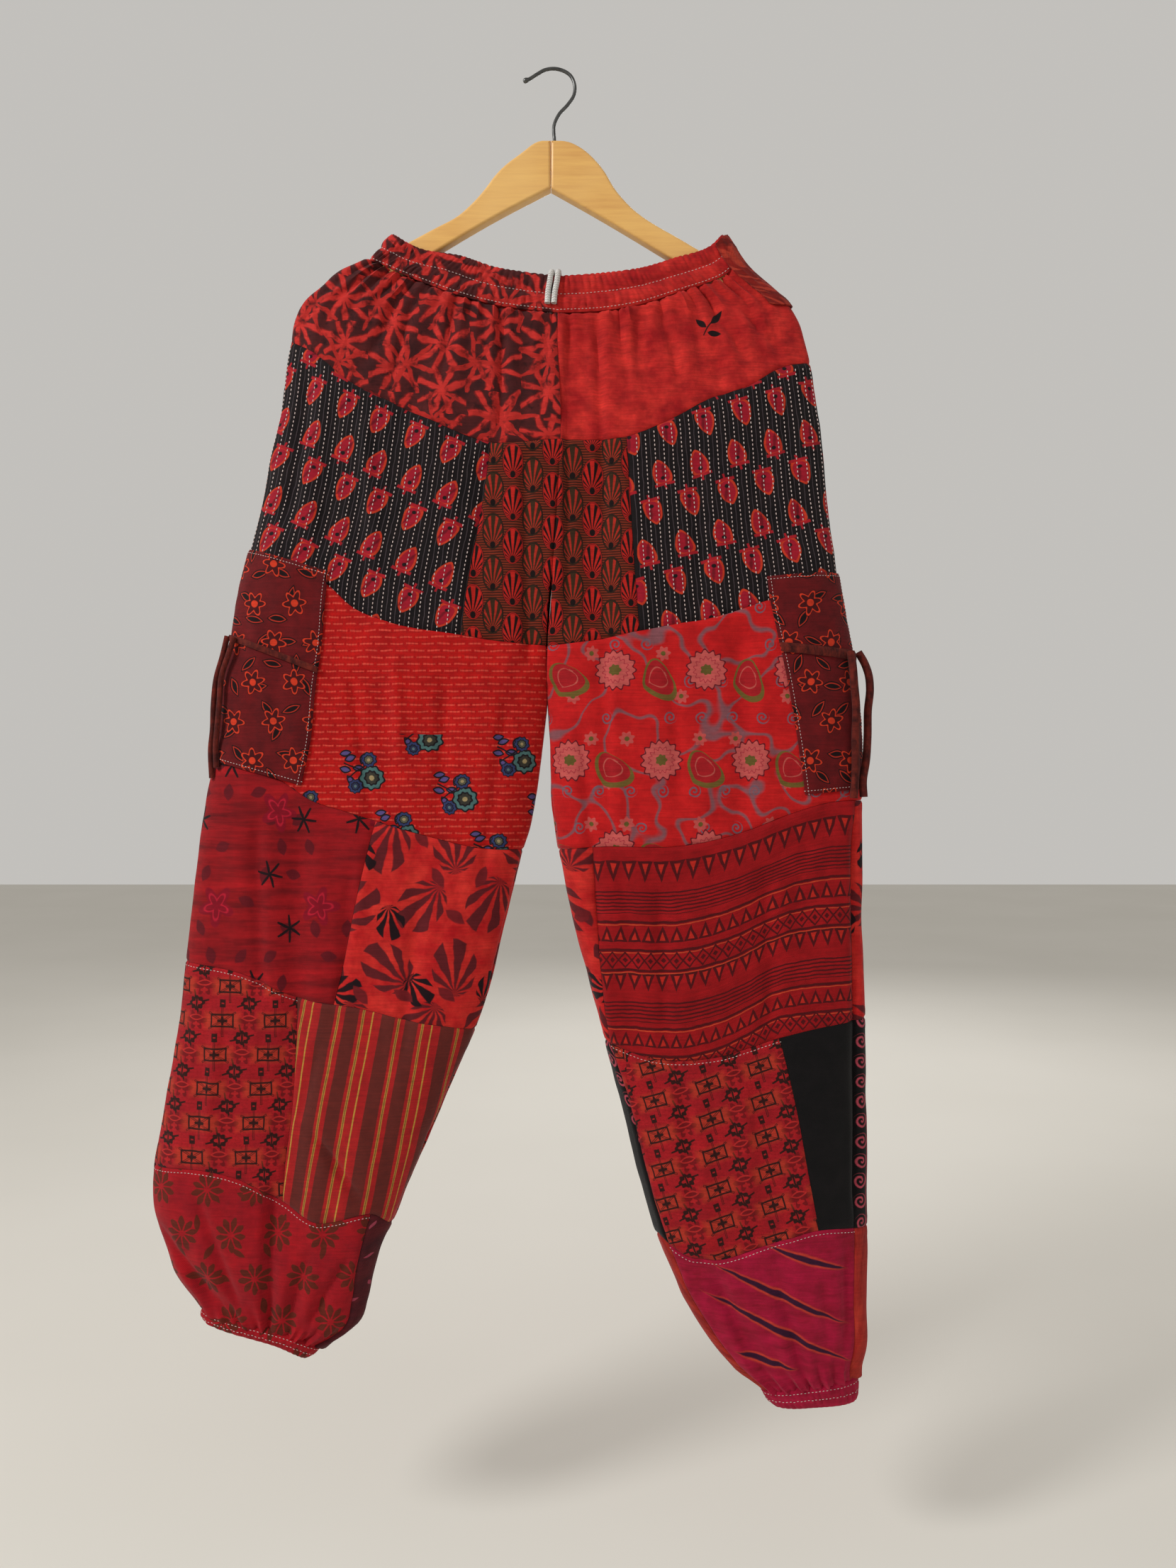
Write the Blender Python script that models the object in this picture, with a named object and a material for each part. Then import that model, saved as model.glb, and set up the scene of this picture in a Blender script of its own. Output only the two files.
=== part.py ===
"""Patchwork harem pants hanging on a wooden hanger with a steel wire hook.

The cloth is one surface, worked out from a table of sections for each half and cut into panels at
the seams. "Left" is the side at -X, seen from the front, which faces -Y. Sizes are in millimetres
until a mesh is made. The origin is the inner top of the hook's loop.
"""

import math

import bmesh
import bpy
import numpy as np
from mathutils import Vector

MM = 0.001
NAME = "patchwork_pants"

# Cloth and seams
WALL = 1.4
SEAM_GAP = 0.3
GATHERED_GAP = 0.6
BACK_YOKE_GAP = 1.4
LAY_GAP = 0.5
POCKET_WALL = 1.2
STRAP_WALL = 1.6
ROUNDING = 2.2

# Waistband: a plain inside that lies on the hanger, and gathers on the outside
BAND_WALL = 1.8
BAND_WAVE = 1.5
BAND_WAVES = 100
CUFF_WALL = 1.6
CUFF_WAVE = 1.3
CUFF_WAVES = 24

CROTCH_Z = -529.0
CROTCH_RISE = 90.0

# Hanger
WOOD_THICK = 12.0
WOOD_ROUND = 1.5
JOINT_X = -1.8
WIRE_RADIUS = 1.5

# Cords
STRING_RADIUS = 1.9
TIE_RADIUS = 2.4
WIDE_TIE_RADIUS = 3.4

# Sections of each half: height, outer edge, inner edge (the centre line above the crotch),
# half depth, and how far in from an edge the section rounds off.
SECTIONS = {
    "left": [
        # z, outer, inner, depth, edge
        (-140, -136, 3, 8.1, 10),
        (-152, -146, 3, 8.1, 10),
        (-165, -157, 3, 8.1, 10),
        (-177, -181, 4, 8.6, 16),
        (-189, -197, 4, 9.2, 24),
        (-201, -213, 4, 9.8, 32),
        (-214, -220, 4, 10.5, 38),
        (-236, -225, 4, 12, 44),
        (-299, -235, 7, 16, 52),
        (-372, -249, 4, 19, 58),
        (-445, -269, -1, 21, 62),
        (-506, -276, -4, 22, 64),
        (-529, -281, -4, 22, 64),
        (-580, -286, -9, 22, 64),
        (-628, -297, -16, 22, 66),
        (-702, -307, -35, 22, 66),
        (-811, -319, -62, 22, 66),
        (-884, -331, -92, 22, 66),
        (-958, -343, -124, 23, 66),
        (-982, -342, -134, 23, 66),
        (-1006, -334, -144, 23, 64),
        (-1031, -325, -152, 22, 60),
        (-1055, -309, -158, 20, 56),
        (-1080, -295, -171, 17, 46),
        (-1092, -289, -191, 14, 36),
        (-1106, -284, -212, 12, 26),
    ],
    "right": [
        (-140, 143, 3, 8.1, 10),
        (-152, 152, 3, 8.1, 10),
        (-165, 160, 3, 8.1, 10),
        (-177, 170, 4, 8.6, 16),
        (-189, 185, 4, 9.2, 24),
        (-201, 201, 4, 9.8, 32),
        (-214, 210, 4, 10.5, 38),
        (-236, 217, 4, 12, 44),
        (-299, 227, 7, 16, 52),
        (-372, 235, 4, 19, 58),
        (-445, 246, -1, 21, 62),
        (-506, 256, -4, 22, 64),
        (-529, 259, -4, 22, 64),
        (-580, 263, -2, 22, 64),
        (-628, 265, -1, 22, 66),
        (-702, 265, 11, 22, 66),
        (-811, 268, 38, 22, 66),
        (-884, 270, 59, 22, 66),
        (-958, 270, 77, 23, 66),
        (-1006, 270, 92, 23, 66),
        (-1055, 269, 112, 22, 62),
        (-1098, 267, 140, 20, 56),
        (-1116, 262, 158, 18, 46),
        (-1128, 261, 173, 15, 36),
        (-1147, 260, 190, 12, 26),
    ],
}

# Seam lines from the outer edge to the inner one, as (x, z) on the front.
SEAMS = {
    "left": {
        "band_top": [(-138, -143), (-110, -158), (-79, -163), (-49, -173), (3, -181)],
        "band_foot": [(-157, -166), (-141, -173), (-109, -187), (-79, -198), (-49, -206), (4, -213)],
        "yoke_foot": [(-225, -235), (-205, -246), (-170, -274), (-141, -288),
                      (-109, -303), (-57, -323), (6, -321)],
        "hip_foot": [(-262, -427), (-187, -448), (-171, -463), (-139, -477),
                     (-79, -488), (-48, -493), (-4, -497)],
        "upper_foot": [(-288, -592), (-231, -610), (-203, -628), (-172, -638),
                       (-113, -656), (-54, -669), (-26, -670)],
        "middle_foot": [(-315, -765), (-262, -774), (-217, -794), (-165, -803), (-120, -814), (-57, -824)],
        "lower_foot": [(-343, -940), (-293, -940), (-261, -948), (-229, -967),
                       (-201, -983), (-148, -981), (-138, -991)],
        "foot_end": [(-303, -1066), (-199, -1098)],
        "cuff_end": [(-299, -1074), (-212, -1106)],
    },
    "right": {
        "band_top": [(144, -143), (134, -155), (104, -165), (73, -174), (43, -178), (3, -181)],
        "band_foot": [(161, -166), (148, -179), (134, -186), (104, -196), (73, -206), (43, -211), (4, -213)],
        "yoke_foot": [(220, -253), (196, -259), (165, -277), (134, -287), (104, -303), (63, -320), (6, -321)],
        "hip_foot": [(245, -441), (181, -459), (134, -474), (104, -479), (73, -485), (32, -493), (-4, -497)],
        "upper_foot": [(265, -628), (240, -629), (196, -641), (165, -653),
                       (111, -666), (44, -667), (5, -670)],
        "middle_foot": [(268, -814), (226, -820), (193, -828), (134, -845), (74, -844), (43, -834)],
        "lower_foot": [(270, -992), (225, -990), (180, -1003), (134, -1016), (107, -1012), (91, -1000)],
        "foot_end": [(261, -1122), (182, -1134)],
        "cuff_end": [(260, -1142), (190, -1147)],
    },
}

# Places of the column lines on each seam, as parts of the way from the outer to the inner edge.
COLUMN_LINES = {
    "left": {
        # seam: side wrap, outer, inner, inseam wrap
        "band_foot": (0.03, 0.30, 0.74, 0.97),
        "yoke_foot": (0.03, 0.295, 0.76, 0.97),
        "hip_foot": (0.03, 0.295, 0.727, 0.97),
        "upper_foot": (0.03, 0.295, 0.537, 0.96),
        "middle_foot": (0.03, 0.387, 0.514, 0.95),
        "lower_foot": (0.03, 0.534, 0.75, 0.90),
        "foot_end": (0.04, 0.45, 0.75, 0.93),
    },
    "right": {
        "band_foot": (0.045, 0.27, 0.74, 0.97),
        "yoke_foot": (0.045, 0.27, 0.749, 0.97),
        "hip_foot": (0.045, 0.26, 0.70, 0.96),
        "upper_foot": (0.03, 0.19, 0.60, 0.886),
        "middle_foot": (0.045, 0.341, 0.70, 0.985),
        "lower_foot": (0.075, 0.248, 0.70, 0.965),
        "foot_end": (0.08, 0.30, 0.70, 0.93),
    },
}

# How the columns share the stretch between two lines, from the outer edge to the inner one.
SHARES = [
    (0.0, 0.2, 1.0),
    (0.0, 0.25, 0.5, 0.75, 1.0),
    (0.0, 0.2, 0.4, 0.6, 0.8, 1.0),
    (0.0, 0.25, 0.5, 0.75, 1.0),
    (0.0, 0.8, 1.0),
]
BACK_PLACES = (0.0, 0.008, 0.05, 0.16, 0.32, 0.5, 0.68, 0.84, 0.95, 0.992, 1.0)

# Tiers from the waist down: name, seam above, seam below, rows of faces.
TIERS = {
    "yoke": ("band_foot", "yoke_foot", 3),
    "hip": ("yoke_foot", "hip_foot", 4),
    "upper": ("hip_foot", "upper_foot", 6),
    "middle": ("upper_foot", "middle_foot", 4),
    "lower": ("middle_foot", "lower_foot", 5),
    "foot": ("lower_foot", "foot_end", 5),
}

# Largest folds: half, side, top (x, z), bottom (x, z), half width, depth (inwards is positive).
FOLDS = [
    ("left", "front", (-100, -200), (-128, -330), 11, 3.0),
    ("left", "front", (-60, -210), (-76, -300), 9, 2.4),
    ("left", "front", (-20, -216), (-26, -330), 9, 2.6),
    ("left", "front", (-186, -290), (-190, -420), 11, 3.0),
    ("left", "front", (-150, -510), (-138, -640), 12, 4.0),
    ("left", "front", (-212, -640), (-228, -1020), 13, 5.0),
    ("left", "front", (-205, -900), (-160, -975), 12, 3.0),
    ("left", "front", (-330, -990), (-275, -1070), 12, 4.0),
    ("right", "front", (20, -214), (30, -490), 11, 4.5),
    ("right", "front", (70, -208), (90, -320), 10, 2.6),
    ("right", "front", (110, -200), (150, -300), 11, 3.0),
    ("right", "front", (40, -320), (46, -700), 11, 4.0),
    ("right", "front", (168, -300), (196, -430), 12, 2.6),
    ("right", "front", (158, -470), (160, -660), 12, 3.6),
    ("right", "front", (60, -670), (66, -860), 10, 3.4),
    ("right", "front", (120, -1010), (196, -1130), 12, 4.0),
    ("left", "back", (-90, -200), (-110, -420), 12, 3.4),
    ("left", "back", (-190, -620), (-215, -980), 14, 4.4),
    ("right", "back", (80, -205), (105, -430), 12, 3.4),
    ("right", "back", (150, -560), (160, -900), 14, 4.2),
]
FOLD_FADE = 45.0

CLOTHS = {
    # name: colour (sRGB hex), roughness
    "batik": ("43171A", 0.85),
    "tie_dye": ("BC1C1C", 0.85),
    "kantha": ("1D1416", 0.9),
    "fans": ("7A2014", 0.85),
    "dobby": ("C8100E", 0.8),
    "floral": ("D81E1E", 0.8),
    "slub": ("B8141C", 0.85),
    "leaves": ("D0201C", 0.85),
    "tiles": ("C01A22", 0.85),
    "stripes": ("6A2018", 0.85),
    "damask": ("B8121E", 0.75),
    "borders": ("B81418", 0.85),
    "black": ("171214", 0.85),
    "magenta": ("A80C3A", 0.8),
    "coral": ("C02A20", 0.85),
    "maroon": ("4A1418", 0.85),
    "pocket": ("6A1C1C", 0.85),
    "tie": ("5A1A16", 0.85),
    "patch": ("8A2A1C", 0.85),
}

# Panels: node, half, tier, first and last column line (0 is the outer edge, 5 the inner), cloth.
FRONT_PANELS = [
    ("yoke_front_left", "left", "yoke", 0, 5, "batik"),
    ("hip_front_left", "left", "hip", 0, 3, "kantha"),
    ("centre_left", "left", "hip", 3, 5, "fans"),
    ("upper_front_left", "left", "upper", 0, 5, "dobby"),
    ("middle_outer_left", "left", "middle", 0, 3, "slub"),
    ("middle_inner_left", "left", "middle", 3, 5, "leaves"),
    ("lower_outer_left", "left", "lower", 0, 2, "tiles"),
    ("lower_inner_left", "left", "lower", 2, 5, "stripes"),
    ("foot_front_left", "left", "foot", 0, 4, "damask"),
    ("yoke_front_right", "right", "yoke", 0, 5, "tie_dye"),
    ("hip_front_right", "right", "hip", 0, 3, "kantha"),
    ("centre_right", "right", "hip", 3, 5, "fans"),
    ("upper_front_right", "right", "upper", 0, 5, "floral"),
    ("middle_front_right", "right", "middle", 1, 4, "borders"),
    ("lower_front_right", "right", "lower", 2, 4, "tiles"),
    ("lower_outer_right", "right", "lower", 1, 2, "black"),
    ("foot_front_right", "right", "foot", 1, 4, "magenta"),
]

# Backs: node, half, tier, line on the front that they reach round the inner edge, and round the side.
BACK_PANELS = [
    ("yoke_back_left", "left", "yoke", 5, 0, "batik"),
    ("hip_back_left", "left", "hip", 5, 0, "kantha"),
    ("upper_back_left", "left", "upper", 5, 0, "dobby"),
    ("middle_back_left", "left", "middle", 5, 0, "leaves"),
    ("lower_back_left", "left", "lower", 5, 0, "tiles"),
    ("foot_back_left", "left", "foot", 4, 0, "maroon"),
    ("yoke_back_right", "right", "yoke", 5, 0, "tie_dye"),
    ("hip_back_right", "right", "hip", 5, 0, "kantha"),
    ("upper_back_right", "right", "upper", 5, 0, "floral"),
    ("middle_back_right", "right", "middle", 4, 1, "leaves"),
    ("lower_back_right", "right", "lower", 4, 1, "black"),
    ("foot_back_right", "right", "foot", 4, 1, "coral"),
]

# Pockets: the mouth and the bottom as (x, z) at the outer and the inner edge.
POCKETS = {
    "left": {"mouth": ((-262, -413), (-187, -435)), "bottom": ((-284, -594), (-213, -615))},
    "right": {"mouth": ((242, -434), (180, -439)), "bottom": ((262, -618), (214, -623))},
}
POCKET_ROWS = 7

# Tie strips sewn across the pockets: outer and inner (x, z), and half their width.
STRAPS = {
    "left": ((-276, -489), (-197, -518), 2.6),
    "right": ((255, -505), (198, -499), 4.0),
}

# Routes of the ties that hang from the strips, and of the drawstring's two strands, as (x, y, z).
TIE_ROUTES = {
    "tie_left_inner": [(-269.6, -17.5, -490), (-273, -19, -503), (-279, -18, -520), (-282, -17, -547),
                       (-284, -16.5, -568), (-285.5, -15.5, -583), (-285, -15.5, -600)],
    "tie_left_outer": [(-277.6, -9.3, -488), (-281, -10.2, -504), (-286.5, -10.5, -524), (-289, -10.5, -548),
                       (-289.5, -11, -568), (-291, -11, -583), (-290, -11.5, -609)],
    "tie_right_inner": [(252.2, -17.2, -502), (253.5, -19.2, -514), (254.5, -20.5, -530), (256, -21, -549),
                        (255.5, -21, -573), (255.5, -21, -602), (254, -21, -626)],
    "tie_right_outer": [(260.2, -10.5, -502), (265, -12, -511), (268.5, -13, -522),
                        (269.5, -13, -532), (267.5, -14, -552),
                        (267, -15, -573), (265.5, -16, -594), (262.5, -17.5, -612), (263, -18, -625)],
}
TIE_SIZES = {
    "tie_left_inner": TIE_RADIUS,
    "tie_left_outer": TIE_RADIUS,
    "tie_right_inner": WIDE_TIE_RADIUS,
    "tie_right_outer": WIDE_TIE_RADIUS,
}
STRING_ROUTES = {
    "drawstring_left": [(-4.5, -14.4, -206), (-4, -14.1, -197), (-2.5, -13.4, -187), (-1.2, -11.6, -179.2),
                        (-0.6, -8, -176.8), (-0.6, -5, -178.8), (-1, -3.9, -188), (-2, -3.7, -204),
                        (-4, -3.6, -222)],
    "drawstring_right": [(1, -14.4, -206), (1.8, -14.1, -197), (3.6, -13.4, -187), (4.6, -11.6, -179.2),
                         (5, -8, -176.8), (5, -5, -178.8), (4.6, -3.9, -188), (5, -3.7, -206),
                         (6.5, -3.6, -230)],
}

# Hanger's left arm, upper edge then lower edge, and its right arm.
ARM_LEFT = [(JOINT_X, -62.8), (-14, -62.8), (-27.5, -73.8), (-39.7, -82.4), (-50, -92.7), (-58.6, -104.9),
            (-68.9, -116.5), (-82.4, -128.7), (-100, -137.3), (-119, -147.6), (-140, -159), (-146, -166),
            (-146, -178), (-140, -182), (-118, -169), (-98.8, -157.4), (-65.3, -137.3), (-37.8, -122),
            (JOINT_X, -103.7)]
ARM_RIGHT = [(JOINT_X, -62.8), (12, -62.8), (23.8, -68.3), (34.2, -76.9), (44.5, -89.1), (51.9, -103.1),
             (60.4, -113.5), (72, -125), (89.7, -136.6), (106.8, -145.8), (123.8, -156.2), (143, -166),
             (149, -173), (149, -184), (142, -187), (124, -177), (104.3, -165.9), (63.4, -140.9),
             (31.1, -122), (JOINT_X, -103.7)]
HOOK_ROUTE = [(1.2, -62.4), (1.2, -46), (5, -38), (13, -29), (18, -21), (18.6, -13), (14.5, -4), (8, 0),
              (0, 1.5), (-7.5, 0.2), (-14, -3.4), (-20, -7.2), (-25.6, -9.5)]
HOOK_TIP_SWELL = 1.5


def smooth(at, places, values):
    """A cubic curve through the values, read at each place."""
    at = np.clip(np.asarray(at, float), min(places), max(places))
    order = np.argsort(places)
    places = np.asarray(places, float)[order]
    values = np.asarray(values, float)[order]
    slopes = np.gradient(values, places)
    index = np.clip(np.searchsorted(places, at) - 1, 0, len(places) - 2)
    span = places[index + 1] - places[index]
    t = (at - places[index]) / span
    return (
        values[index] * (1 + 2 * t) * (1 - t) ** 2
        + values[index + 1] * t * t * (3 - 2 * t)
        + span * slopes[index] * t * (1 - t) ** 2
        - span * slopes[index + 1] * t * t * (1 - t)
    )


def section(half, z):
    """Outer edge, inner edge, half depth and edge rounding at a height."""
    rows = np.array(SECTIONS[half], float)
    return [smooth(z, rows[:, 0], rows[:, column]) for column in (1, 2, 3, 4)]


def rounding(share):
    """How deep a section is, from 0 at its edge to 1 where it is flat."""
    flat = np.clip(1 - share, 0, 1)
    return (1 - flat**ROUNDING) ** (1 / ROUNDING)


def fold_depth(half, side, x, z):
    total = np.zeros_like(x)
    for fold_half, fold_side, top, bottom, width, depth in FOLDS:
        if (fold_half, fold_side) != (half, side):
            continue
        along = np.clip((z - top[1]) / (bottom[1] - top[1]), 0, 1)
        line = top[0] + (bottom[0] - top[0]) * along
        past = np.maximum(z - top[1], bottom[1] - z)
        fade = np.clip(-past / FOLD_FADE, 0, 1)
        total = total + depth * fade * (2 - fade) * np.exp(-(((x - line) / width) ** 2))
    return total


def cloth_point(half, side, place, z):
    """A point of the outer surface: place runs from 0 at the outer edge to 1 at the inner one."""
    place = np.asarray(place, float)
    z = np.asarray(z, float) + 0 * place
    place = place + 0 * z
    outer, inner, depth, edge = section(half, z)
    width = np.abs(inner - outer)
    x = outer + (inner - outer) * place
    joined = np.clip((z - CROTCH_Z) / CROTCH_RISE, 0, 1) ** 0.5
    at_inner = joined + (1 - joined) * rounding((1 - place) * width / edge)
    profile = rounding(place * width / edge) * at_inner
    inwards = fold_depth(half, side, x, z) * profile**2
    y = profile * depth - inwards
    return np.stack([x, -y if side == "front" else y, z], axis=-1)


def cloth_normal(half, side, place, z, step=1e-4):
    """The outward normal there, from differences of the surface."""
    place = np.asarray(place, float)
    before = np.clip(place - step, 0, 1)
    after = np.clip(place + step, 0, 1)
    across = cloth_point(half, side, after, z) - cloth_point(half, side, before, z)
    up = cloth_point(half, side, place, z + 0.5) - cloth_point(half, side, place, z - 0.5)
    turn = 1 if (half == "left") == (side == "front") else -1
    normal = turn * np.cross(across, up)
    return normal / np.linalg.norm(normal, axis=-1, keepdims=True)


def seam_height(half, seam, place):
    """A seam's height at each place across the half."""
    points = np.array(SEAMS[half][seam], float)
    outer, inner, _, _ = section(half, points[:, 1])
    places = (points[:, 0] - outer) / (inner - outer)
    places[0] = 0
    places[-1] = 1
    return smooth(place, places, points[:, 1])


def line_places(half, seam):
    return (0.0,) + COLUMN_LINES[half][seam] + (1.0,)


def front_columns(half, tier, first, last):
    """Columns between two lines, as (side, place on the seam above, place on the seam below)."""
    above = line_places(half, TIERS[tier][0])
    below = line_places(half, TIERS[tier][1])
    columns = []
    for line in range(first, last):
        for share in SHARES[line][bool(columns):]:
            columns.append((
                "front",
                above[line] + (above[line + 1] - above[line]) * share,
                below[line] + (below[line + 1] - below[line]) * share,
            ))
    return columns


def back_columns(half, tier, inseam_line, side_line):
    """Columns round the back, from the front's inseam line to its side line."""
    columns = front_columns(half, tier, inseam_line, 5)
    columns += [("back", place, place) for place in reversed(BACK_PLACES)][bool(columns):]
    return columns + front_columns(half, tier, 0, side_line)[1:]


def surface_grid(half, columns, heights):
    """Points and normals, as [row, column], of columns at the heights given for each of them."""
    rows = len(heights[0])
    points = np.zeros((rows, len(columns), 3))
    normals = np.zeros_like(points)
    share = np.linspace(0, 1, rows)
    for index, (side, above, below) in enumerate(columns):
        place = above + (below - above) * share
        points[:, index] = cloth_point(half, side, place, heights[index])
        normals[:, index] = cloth_normal(half, side, place, heights[index])
    return points, normals


def tier_heights(half, tier, columns):
    above, below, rows = TIERS[tier]
    share = np.linspace(0, 1, rows + 1)
    heights = []
    for _, place_above, place_below in columns:
        top = seam_height(half, above, place_above)
        foot = seam_height(half, below, place_below)
        heights.append(top + (foot - top) * share)
    return heights


def edge_shifts(points, above=SEAM_GAP, below=SEAM_GAP, ring=False):
    """Moves that open half of each seam's gap along the grid's edges."""
    shifts = np.zeros_like(points)

    def towards(edge, inside, gap):
        step = inside - edge
        return gap / 2 * step / np.linalg.norm(step, axis=-1, keepdims=True)

    shifts[0] += towards(points[0], points[1], above)
    shifts[-1] += towards(points[-1], points[-2], below)
    if not ring:
        shifts[:, 0] += towards(points[:, 0], points[:, 1], SEAM_GAP)
        shifts[:, -1] += towards(points[:, -1], points[:, -2], SEAM_GAP)
    return shifts


def principled(name, colour, roughness, metallic=0.0):
    material = bpy.data.materials.new(name)
    material.use_nodes = True
    shader = material.node_tree.nodes["Principled BSDF"]
    channels = [int(colour[i : i + 2], 16) / 255 for i in (0, 2, 4)]
    linear = [c / 12.92 if c <= 0.04045 else ((c + 0.055) / 1.055) ** 2.4 for c in channels]
    shader.inputs["Base Color"].default_value = (*linear, 1)
    shader.inputs["Roughness"].default_value = roughness
    shader.inputs["Metallic"].default_value = metallic
    return material


def place_object(name, data, collection, material):
    obj = bpy.data.objects.new(name, data)
    obj.data.materials.append(material)
    collection.objects.link(obj)
    return obj


def wall(name, outer, inner, collection, material, ring=False):
    """A closed wall lofted between an outer and an inner grid with the same columns."""
    shell = bmesh.new()
    columns = outer.shape[1]
    grids = [
        [[shell.verts.new(Vector(p) * MM) for p in row] for row in grid] for grid in (outer, inner)
    ]
    span = range(columns if ring else columns - 1)
    for grid in grids:
        for upper, lower in zip(grid, grid[1:]):
            for i in span:
                j = (i + 1) % columns
                shell.faces.new((upper[i], upper[j], lower[j], lower[i]))
    for end in (0, -1):
        for i in span:
            j = (i + 1) % columns
            shell.faces.new((grids[0][end][i], grids[0][end][j], grids[1][end][j], grids[1][end][i]))
    if not ring:
        for end in (0, -1):
            side = [row[end] for row in grids[0]] + [row[end] for row in reversed(grids[1])]
            shell.faces.new(side)
    bmesh.ops.recalc_face_normals(shell, faces=shell.faces)
    bmesh.ops.triangulate(shell, faces=shell.faces, quad_method="SHORT_EDGE")
    mesh = bpy.data.meshes.new(name)
    shell.to_mesh(mesh)
    shell.free()
    mesh.shade_smooth()
    mesh.set_sharp_from_angle(angle=math.radians(40))
    return place_object(name, mesh, collection, material)


def panel(name, half, tier, columns, collection, material):
    points, normals = surface_grid(half, columns, tier_heights(half, tier, columns))
    above = SEAM_GAP
    if tier == "yoke":
        above = GATHERED_GAP if columns[0][0] == "front" else BACK_YOKE_GAP
    below = GATHERED_GAP if tier == "foot" else SEAM_GAP
    outer = points + edge_shifts(points, above, below)
    wall(name, outer, outer - WALL * normals, collection, material)


def even_places(half, side, z, count):
    """Places that share out the arc of the section at a height."""
    fine = np.linspace(0, 1, 2001) ** 1.5
    points = cloth_point(half, side, fine, z)
    along = np.concatenate([[0], np.cumsum(np.linalg.norm(np.diff(points, axis=0), axis=1))])
    return np.interp(np.linspace(0, along[-1], count), along, fine)


def gathered(name, half, columns, seams, shares, swells, waves, wave, thickness, ring, collection, material):
    """A band whose outer points rise in waves over a plain inside."""
    points = np.zeros((len(shares), len(columns), 3))
    normals = np.zeros_like(points)
    for index, (side, place, _) in enumerate(columns):
        top, foot = (seam_height(half, seam, place) for seam in seams)
        z = top + (foot - top) * np.array(shares)
        points[:, index] = cloth_point(half, side, np.full(len(z), place), z)
        normals[:, index] = cloth_normal(half, side, np.full(len(z), place), z)
    base = points + edge_shifts(points, ring=ring)
    count = len(columns) if ring else len(columns) - 1
    crest = 0.5 - 0.5 * np.cos(2 * math.pi * waves * np.arange(len(columns)) / count)
    outer = base + wave * np.array(swells)[:, None, None] * crest[None, :, None] * normals
    inner = (base - thickness * normals)[[0, -1]]
    wall(name, outer, inner, collection, material, ring)


def make_waistband(collection, materials):
    """Two halves, each round its side from the centre front to the centre back."""
    for half, cloth in (("left", "batik"), ("right", "tie_dye")):
        middle = float(np.mean([z for _, z in SEAMS[half]["band_foot"]]))
        places = even_places(half, "front", middle, BAND_WAVES // 2 + 1)
        columns = [("front", place, place) for place in reversed(places)]
        columns += [("back", place, place) for place in places[1:]]
        gathered(
            f"waistband_{half}", half, columns, ("band_top", "band_foot"),
            (0.0, 0.25, 0.5, 0.75, 1.0), (0.4, 1.0, 0.15, 1.0, 0.15),
            BAND_WAVES // 2, BAND_WAVE, BAND_WALL, False, collection, materials[cloth],
        )


def make_cuffs(collection, materials):
    for half, cloth in (("left", "damask"), ("right", "magenta")):
        middle = float(np.mean([z for _, z in SEAMS[half]["cuff_end"]]))
        places = even_places(half, "front", middle, CUFF_WAVES + 1)
        columns = [("front", place, place) for place in places]
        columns += [("back", place, place) for place in reversed(places[1:-1])]
        gathered(
            f"cuff_{half}", half, columns, ("foot_end", "cuff_end"),
            (0.0, 0.5, 1.0), (0.15, 1.0, 0.3),
            CUFF_WAVES, CUFF_WAVE, CUFF_WALL, True, collection, materials[cloth],
        )


def make_panels(collection, materials):
    for name, half, tier, first, last, cloth in FRONT_PANELS:
        panel(name, half, tier, front_columns(half, tier, first, last), collection, materials[cloth])
    for name, half, tier, inseam_line, side_line, cloth in BACK_PANELS:
        columns = back_columns(half, tier, inseam_line, side_line)
        panel(name, half, tier, columns, collection, materials[cloth])


def line_at(half, line, z):
    """The place of a column line at a height, between the seams of the hip and upper tiers."""
    seams = ("yoke_foot", "hip_foot", "upper_foot", "middle_foot")
    places = [line_places(half, seam)[line] for seam in seams]
    heights = [float(seam_height(half, seam, place)) for seam, place in zip(seams, places)]
    return np.interp(-np.asarray(z, float), [-h for h in heights], places)


def pocket_columns(half, heights_of):
    """Columns of a piece on the pocket's ground, as (place, z) for each row, on the panel's own lines."""
    columns = []
    for line in (0, 1):
        shares = SHARES[line][1:]
        for share in shares:
            guess = heights_of(0.15)
            place = line_at(half, line, guess)
            for _ in range(4):
                low = line_at(half, line, guess)
                high = line_at(half, line + 1, guess)
                place = low + (high - low) * share
                guess = heights_of(place)
            columns.append((place, guess))
    return columns


def laid_piece(name, half, heights_of, lift, thickness, collection, material):
    """A piece that lies on a front panel, made from the panel's points, moved out."""
    columns = pocket_columns(half, heights_of)
    points = np.stack([cloth_point(half, "front", place, z) for place, z in columns], axis=1)
    normals = np.stack([cloth_normal(half, "front", place, z) for place, z in columns], axis=1)
    inner = points + lift * normals
    wall(name, inner + thickness * normals, inner, collection, material)


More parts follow.
